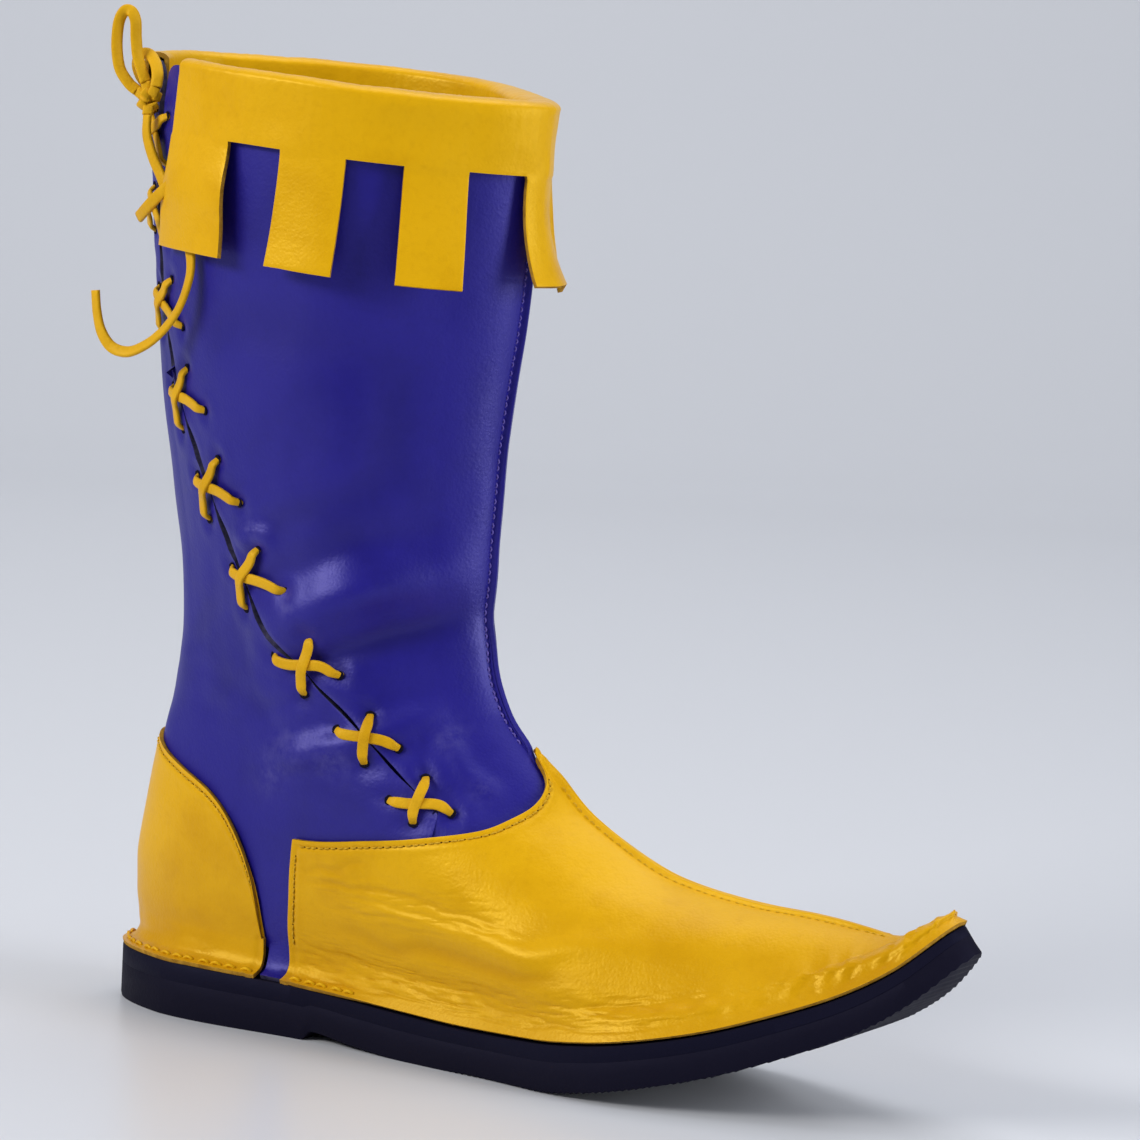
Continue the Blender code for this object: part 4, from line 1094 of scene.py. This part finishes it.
def tube(path, ways, width, thick, sides=8, power=2.0):
    """Closed tube along a path with a rounded flat section; ways point out of its flat face."""
    path = np.asarray(path, float)
    along = unit(np.gradient(path, axis=0), TINY)
    side = unit(np.cross(along, np.broadcast_to(ways, path.shape)), TINY)
    out = np.cross(side, along)
    turn = np.arange(sides) * 2 * pi / sides
    a, b = (np.sign(wave) * np.abs(wave) ** (2 / power) for wave in (np.cos(turn), np.sin(turn)))
    n = len(path)
    width, thick = (np.broadcast_to(size, n)[:, None, None] for size in (width, thick))
    rings = path[:, None] + side[:, None] * (a[:, None] * width / 2) + out[:, None] * (b[:, None] * thick / 2)
    faces = quads(numbers(n, sides, closed=True))
    faces += [list(range(sides))[::-1], list(range((n - 1) * sides, n * sides))]
    return rings.reshape(-1, 3), faces


def joined(parts):
    points, faces, count = [], [], 0
    for p, f in parts:
        points.append(p)
        faces += [[i + count for i in face] for face in f]
        count += len(p)
    return np.concatenate(points), faces


def even_stitches(path, way, pitch, share):
    """Start, end and outward way of stitches along a seam."""
    run = run_along(path)
    starts = np.arange(0.5 * pitch, run[-1] - pitch, pitch)
    starts = starts + 0.10 * pitch * np.sin(2.4 * np.arange(len(starts)))
    return [(at_run(run, path, s), at_run(run, path, s + share * pitch), at_run(run, way, s)) for s in starts]


def sew(name, seams, pitch, thread, look, share=0.72, lift=0.15, holes=True):
    """Thread along seams given as paths with outward ways, and dark marks between stitches that paint the shade in the
    needle holes.
    """
    parts, dark = [], []
    t = np.linspace(0, 1, STITCH_POINTS)[:, None]
    for path, way in seams:
        for start, end, out in even_stitches(path, way, pitch, share):
            arc = start + (end - start) * t + out * (lift + thread * 0.9 * (np.sin(pi * t) - 0.55))
            parts.append(tube(arc, out, thread, thread, 6))
            # Dark mark after each stitch: painted shade of the needle hole
            gap = (end - start) / share * (1 - share) * 0.5
            hole = end + gap * np.array([[0.1], [1.0], [1.9]]) + out * 0.06
            dark.append(tube(hole, out, np.array([0.3, 1.0, 0.3]) * thread, 0.12, 6))
    slot = "indigo_leather" if look is LILAC else "yellow_leather"
    piece(name, *joined(parts), [look], slot)
    if holes:
        piece(name + "_holes", *joined(dark), [NEEDLE_HOLE_SHADE], slot)


def line_below(points, way, distance):
    """Line a distance below the top edge of a grid, and its outward ways."""
    run = run_along(points[::-1])
    columns = range(points.shape[1])
    return [np.array([at_run(run[:, c], grid[::-1, c], distance) for c in columns]) for grid in (points, way)]


def make_stitches(vamp, vamp_angles, counter, upper):
    """Seams of the panels, both sides of the vamp's ridge and both sides of the front seam."""
    def part(seam, shown):
        return seam[0][shown], seam[1][shown]

    seams = [part(line_below(*counter, STITCH_INSET), slice(3, -3))]
    top = line_below(*vamp, STITCH_INSET)
    for side in (-1, 1):
        seams.append(part(top, np.flatnonzero(side * vamp_angles[-1] > PEAK_CLEAR_ANGLE)[3:-3]))
    for order in (-1, 1):
        sideways = [grid.transpose(1, 0, 2)[::order] for grid in vamp]
        seams.append(part(line_below(*sideways, STITCH_INSET), slice(OVERLAY_FOOT_ROWS, -8)))
    sew("panel_stitches", seams, PANEL_PITCH, PANEL_THREAD, THREAD)
    ridge = []
    for beside in (-RIDGE_STITCH_ANGLE, RIDGE_STITCH_ANGLE):
        column = np.argmin(np.abs(vamp_angles[len(vamp_angles) // 2] - beside))
        ridge.append(part(vamp, (slice(OVERLAY_FOOT_ROWS + 4, -14), column)))
    sew("ridge_stitches", ridge, RIDGE_PITCH, RIDGE_THREAD, THREAD, share=0.6, lift=0.05, holes=False)
    columns = (FRONT_COLUMNS - 2, FRONT_COLUMNS + len(FIN_ANGLES) + 1)
    front = [part(upper, (FRONT_SEAM_ROWS, column)) for column in columns]
    sew("front_seam_stitches", front, PANEL_PITCH, PANEL_THREAD, LILAC, share=0.62, lift=0.1, holes=False)


def make_flange_stitches(vamp, counter):
    """Stitches through the turned out edge into the sole: round the heel and a little way along the vamp."""
    seams = []
    for points, way in (vamp, counter):
        path = points[FLANGE_STITCH_ROW]
        shown = np.flatnonzero(path[:, 0] < FLANGE_STITCH_END)
        for run in np.split(shown, np.flatnonzero(np.diff(shown) > 1) + 1):
            seams.append((path[run], way[FLANGE_STITCH_ROW][run]))
    sew("flange_stitches", seams, FLANGE_PITCH, FLANGE_THREAD, YELLOW, share=0.76, lift=0.2, holes=False)


# Lace

# Squareness of a thong's section, its bend into a hole and over another thong, and the painted shadows of the holes
THONG_POWER = 3.2
STRAP_POINTS = 34
STRAP_DIVE = 2.4
STRAP_CLEAR = 0.75
STRAP_BEND = 3.4
OVER_REACH = 4.2
HOLE_SHADOW_SPAN = (-2.2, 0.6)
HOLE_SHADOW_WIDTH = 3.5
HOLE_SHADOW_POINTS = 9
# Wraps of the knot: tilt in degrees, radius, shift and spread along the axis
WRAPS = [(25, 2.3, 0.0, 1.0), (-35, 2.6, -1.6, 0.8), (75, 2.2, 1.8, 0.9)]
CORD_FACING = {"lace_loop_tall": (0.75, -0.5, 0.1), "lace_loop_small": (0.5, -0.8, 0.3),
               "lace_end_short": (0.3, -0.9, 0.2), "lace_end_long": (-0.35, -0.8, 0.45)}


def strap(place, route, over):
    """Thong out of one hole, across the slit and into another, on a smooth route."""
    here, out, up, beside = place
    flat = through(route, np.linspace(0, 1, STRAP_POINTS))
    run = run_along(flat)
    from_end = np.minimum(run, run[-1] - run)
    middle = run[np.argmin(np.linalg.norm(flat, axis=1))]
    path = here + np.outer(flat[:, 0], beside) + np.outer(flat[:, 1], up)
    arch = np.sin(np.clip(from_end / STRAP_BEND, 0, 1) * pi / 2)
    rise = -STRAP_DIVE + (STRAP_DIVE + STRAP_CLEAR + THONG_THICK / 2) * arch
    rise = rise + over * (THONG_THICK - 0.3) * bell(run, middle, OVER_REACH)
    path = path + out * (surface_lift(path, out) + rise)[:, None]
    width = THONG_WIDTH * (0.55 + 0.37 * step(0.0, 4.5, from_end))
    return tube(path, out, width, 0.85 * THONG_THICK, 16, THONG_POWER)


def make_crossings():
    for number, (place, (over, under)) in enumerate(PLACES, 1):
        name = "lace_cross_%02d" % number
        thongs = joined([strap(place, under, 0.0), strap(place, over, 1.0)])
        piece(name + "_thong", *thongs, [THONG], "lace_leather", replaced=[name])


def make_hole_shadows():
    """Painted shadows of the punched holes: dark discs under the ends of the thongs."""
    parts = []
    width = HOLE_SHADOW_WIDTH * np.sqrt(np.clip(1 - np.linspace(-1, 1, HOLE_SHADOW_POINTS) ** 2, 0.02, 1))
    for spot, out, way in HOLES:
        path = spot + np.outer(np.linspace(*HOLE_SHADOW_SPAN, HOLE_SHADOW_POINTS), unit(way))
        path = path + out * (surface_lift(path, out) - 0.15)[:, None]
        parts.append(tube(path, out, width, 0.5, 10))
    piece("lace_holes", *joined(parts), [LACE_HOLE_SHADOW], "indigo_leather")


def make_knot():
    """Wraps of thong round the middle of the bow, and the loops' and the long end's way into it."""
    view = np.array([0.5, -0.866, 0.0])
    right = np.array([0.866, 0.5, 0.0])
    up = np.array([0.0, 0.0, 1.0])
    turn = np.linspace(0, 1.9 * pi, 26)
    thick = THONG_THICK * 0.85
    parts = []
    for tilt, radius, shift, spread in WRAPS:
        axis = cos(radians(tilt)) * right + sin(radians(tilt)) * up
        side = np.cross(view, axis)
        ring = KNOT + axis * shift + np.outer(spread * (turn / pi - 1), axis)
        ring = ring + np.outer(radius * np.cos(turn), view) + np.outer(radius * 1.25 * np.sin(turn), side)
        outs = np.outer(np.cos(turn), view) + np.outer(np.sin(turn), side)
        parts.append(tube(ring, outs, THONG_WIDTH * 0.85, thick, 12, THONG_POWER))
    tall, small = CORDS["lace_loop_tall"], CORDS["lace_loop_small"]
    for end in np.array([tall[0], tall[-1], small[0], small[-1], CORDS["lace_end_long"][0]]):
        path = through([end, 0.5 * (end + KNOT) + 0.8 * view, KNOT], np.linspace(0, 1, 10))
        parts.append(tube(path, view, THONG_WIDTH * 0.9, thick, 12, THONG_POWER))
    piece("lace_knot_thong", *joined(parts), [THONG], "lace_leather", replaced=["lace_knot"])


def make_cords():
    """Loops and ends of the bow as flat thongs along the routes of their solids."""
    for name, route in CORDS.items():
        path = through(route, np.linspace(0, 1, 8 * len(route)))
        points, faces = tube(path, CORD_FACING[name], THONG_WIDTH, THONG_THICK, 14, THONG_POWER)
        made = piece(name + "_thong", points, faces, [THONG], "lace_leather", replaced=[name])


# Studio: the camera's sizes in millimetres, the rest in metres

PIXELS = 1140
FOCAL_PIXELS = 5377.0
SENSOR = 36.0
VIEW_TURN = radians(30.0)
VIEW_DOWN = radians(7.1)
VIEW_ROLL = radians(3.0)
EYE_HEIGHT = 386.0
HEEL_CORNER = np.array([-38.0, -22.0, 0.0])
HEEL_CORNER_PIXEL = np.array([133.0, 1003.0])
VIEW_REACH = 20.0
FLOOR_NEAR = -4.0
FLOOR_FAR = 1.6
FLOOR_ROUND = 1.2
FLOOR_HALF = 4.0
WALL_TOP = 4.0
BOOT_MIDDLE = (0.05, 0.0, 0.15)
BACKDROP_MIDDLE = (-1.3, 2.4, 0.6)


def set_pose(made, right, up, back, place):
    pose = np.eye(4)
    pose[:3] = np.stack([right, up, back, place], -1)
    made.matrix_world = Matrix(pose.tolist())


def make_camera():
    """Camera of the photo: turned, looking down and rolled, with the heel's corner at its pixel."""
    level = np.array([-sin(VIEW_TURN), cos(VIEW_TURN), 0.0])
    right = np.array([cos(VIEW_TURN), sin(VIEW_TURN), 0.0])
    up = np.array([0.0, 0.0, 1.0])
    ahead = level * cos(VIEW_DOWN) - up * sin(VIEW_DOWN)
    above = up * cos(VIEW_DOWN) + level * sin(VIEW_DOWN)
    c, s = cos(VIEW_ROLL), sin(VIEW_ROLL)
    right, above = right * c + above * s, above * c - right * s
    offset = (HEEL_CORNER_PIXEL - PIXELS / 2) / FOCAL_PIXELS
    ray = ahead + right * offset[0] - above * offset[1]
    eye = HEEL_CORNER - ray * (HEEL_CORNER[2] - EYE_HEIGHT) / ray[2]
    lens = FOCAL_PIXELS / PIXELS * SENSOR
    camera = set_all(bpy.data.cameras.new("camera"), sensor_width=SENSOR, lens=lens, clip_end=VIEW_REACH)
    made = add_object("camera", camera)
    set_pose(made, right, above, -ahead, eye * MM)
    bpy.context.scene.camera = made


def area_light(name, place, target, size, power, colour):
    lamp = set_all(bpy.data.lights.new(name, "AREA"), shape="RECTANGLE", size=size[0], size_y=size[1],
                   energy=power, color=colour)
    back = unit(np.subtract(place, target))
    side = unit(np.cross([0.0, 0.0, 1.0], back))
    set_pose(add_object(name, lamp), side, np.cross(back, side), back, place)


def make_studio():
    """Pale seamless sweep, soft lights and an even pale surround."""
    look, tree, shader = new_material("studio_floor")
    feed(tree, shader, {"Base Color": (0.62, 0.635, 0.675), "Roughness": 0.35})
    sweep = [(FLOOR_FAR + FLOOR_ROUND * sin(a), FLOOR_ROUND - FLOOR_ROUND * cos(a)) for a in np.linspace(0, pi / 2, 16)]
    profile = [(FLOOR_NEAR, 0.0), *sweep, (FLOOR_FAR + FLOOR_ROUND, WALL_TOP)]
    away = np.array([-sin(VIEW_TURN), cos(VIEW_TURN)])
    side = np.array([cos(VIEW_TURN), sin(VIEW_TURN)])
    points = [(*(away * d + side * s), z) for d, z in profile for s in (-FLOOR_HALF, FLOOR_HALF)]
    floor = add_object("floor", smooth_mesh("floor", points, quads(numbers(len(profile), 2)), [look]))
    world = bpy.data.worlds.new("surround")
    world.use_nodes = True
    feed(world.node_tree, world.node_tree.nodes["Background"], {"Color": (0.86, 0.89, 0.95), "Strength": 0.29})
    bpy.context.scene.world = world
    area_light("key", (-0.85, -1.45, 1.05), BOOT_MIDDLE, (1.1, 0.45), 27.0, (1.0, 0.98, 0.95))
    area_light("top", (0.2, 0.2, 1.7), BOOT_MIDDLE, (1.2, 1.2), 11.0, (0.97, 0.98, 1.0))
    area_light("side", (1.55, 0.10, 0.55), BOOT_MIDDLE, (0.45, 1.0), 14.0, (0.95, 0.97, 1.0))
    area_light("backdrop", (-0.6, 1.0, 2.2), BACKDROP_MIDDLE, (2.4, 1.0), 25.0, (0.97, 0.98, 1.0))


def main():
    bpy.context.scene.view_settings.view_transform = "Standard"
    make_camera()
    make_cords()
    make_knot()
    upper = make_upper()
    vamp_angles, vamp_heights = vamp_grid()
    vamp = overlay_piece("vamp_leather", vamp_angles, vamp_heights, "vamp", True)
    counter = overlay_piece("heel_counter_leather", *counter_grid(), "heel_counter", False)
    make_cuff()
    make_sole()
    make_stitches(vamp, vamp_angles, counter, upper)
    make_flange_stitches(vamp, counter)
    make_crossings()
    make_hole_shadows()
    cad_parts["insole"].material_slots[0].material = TAN
    make_studio()


main()
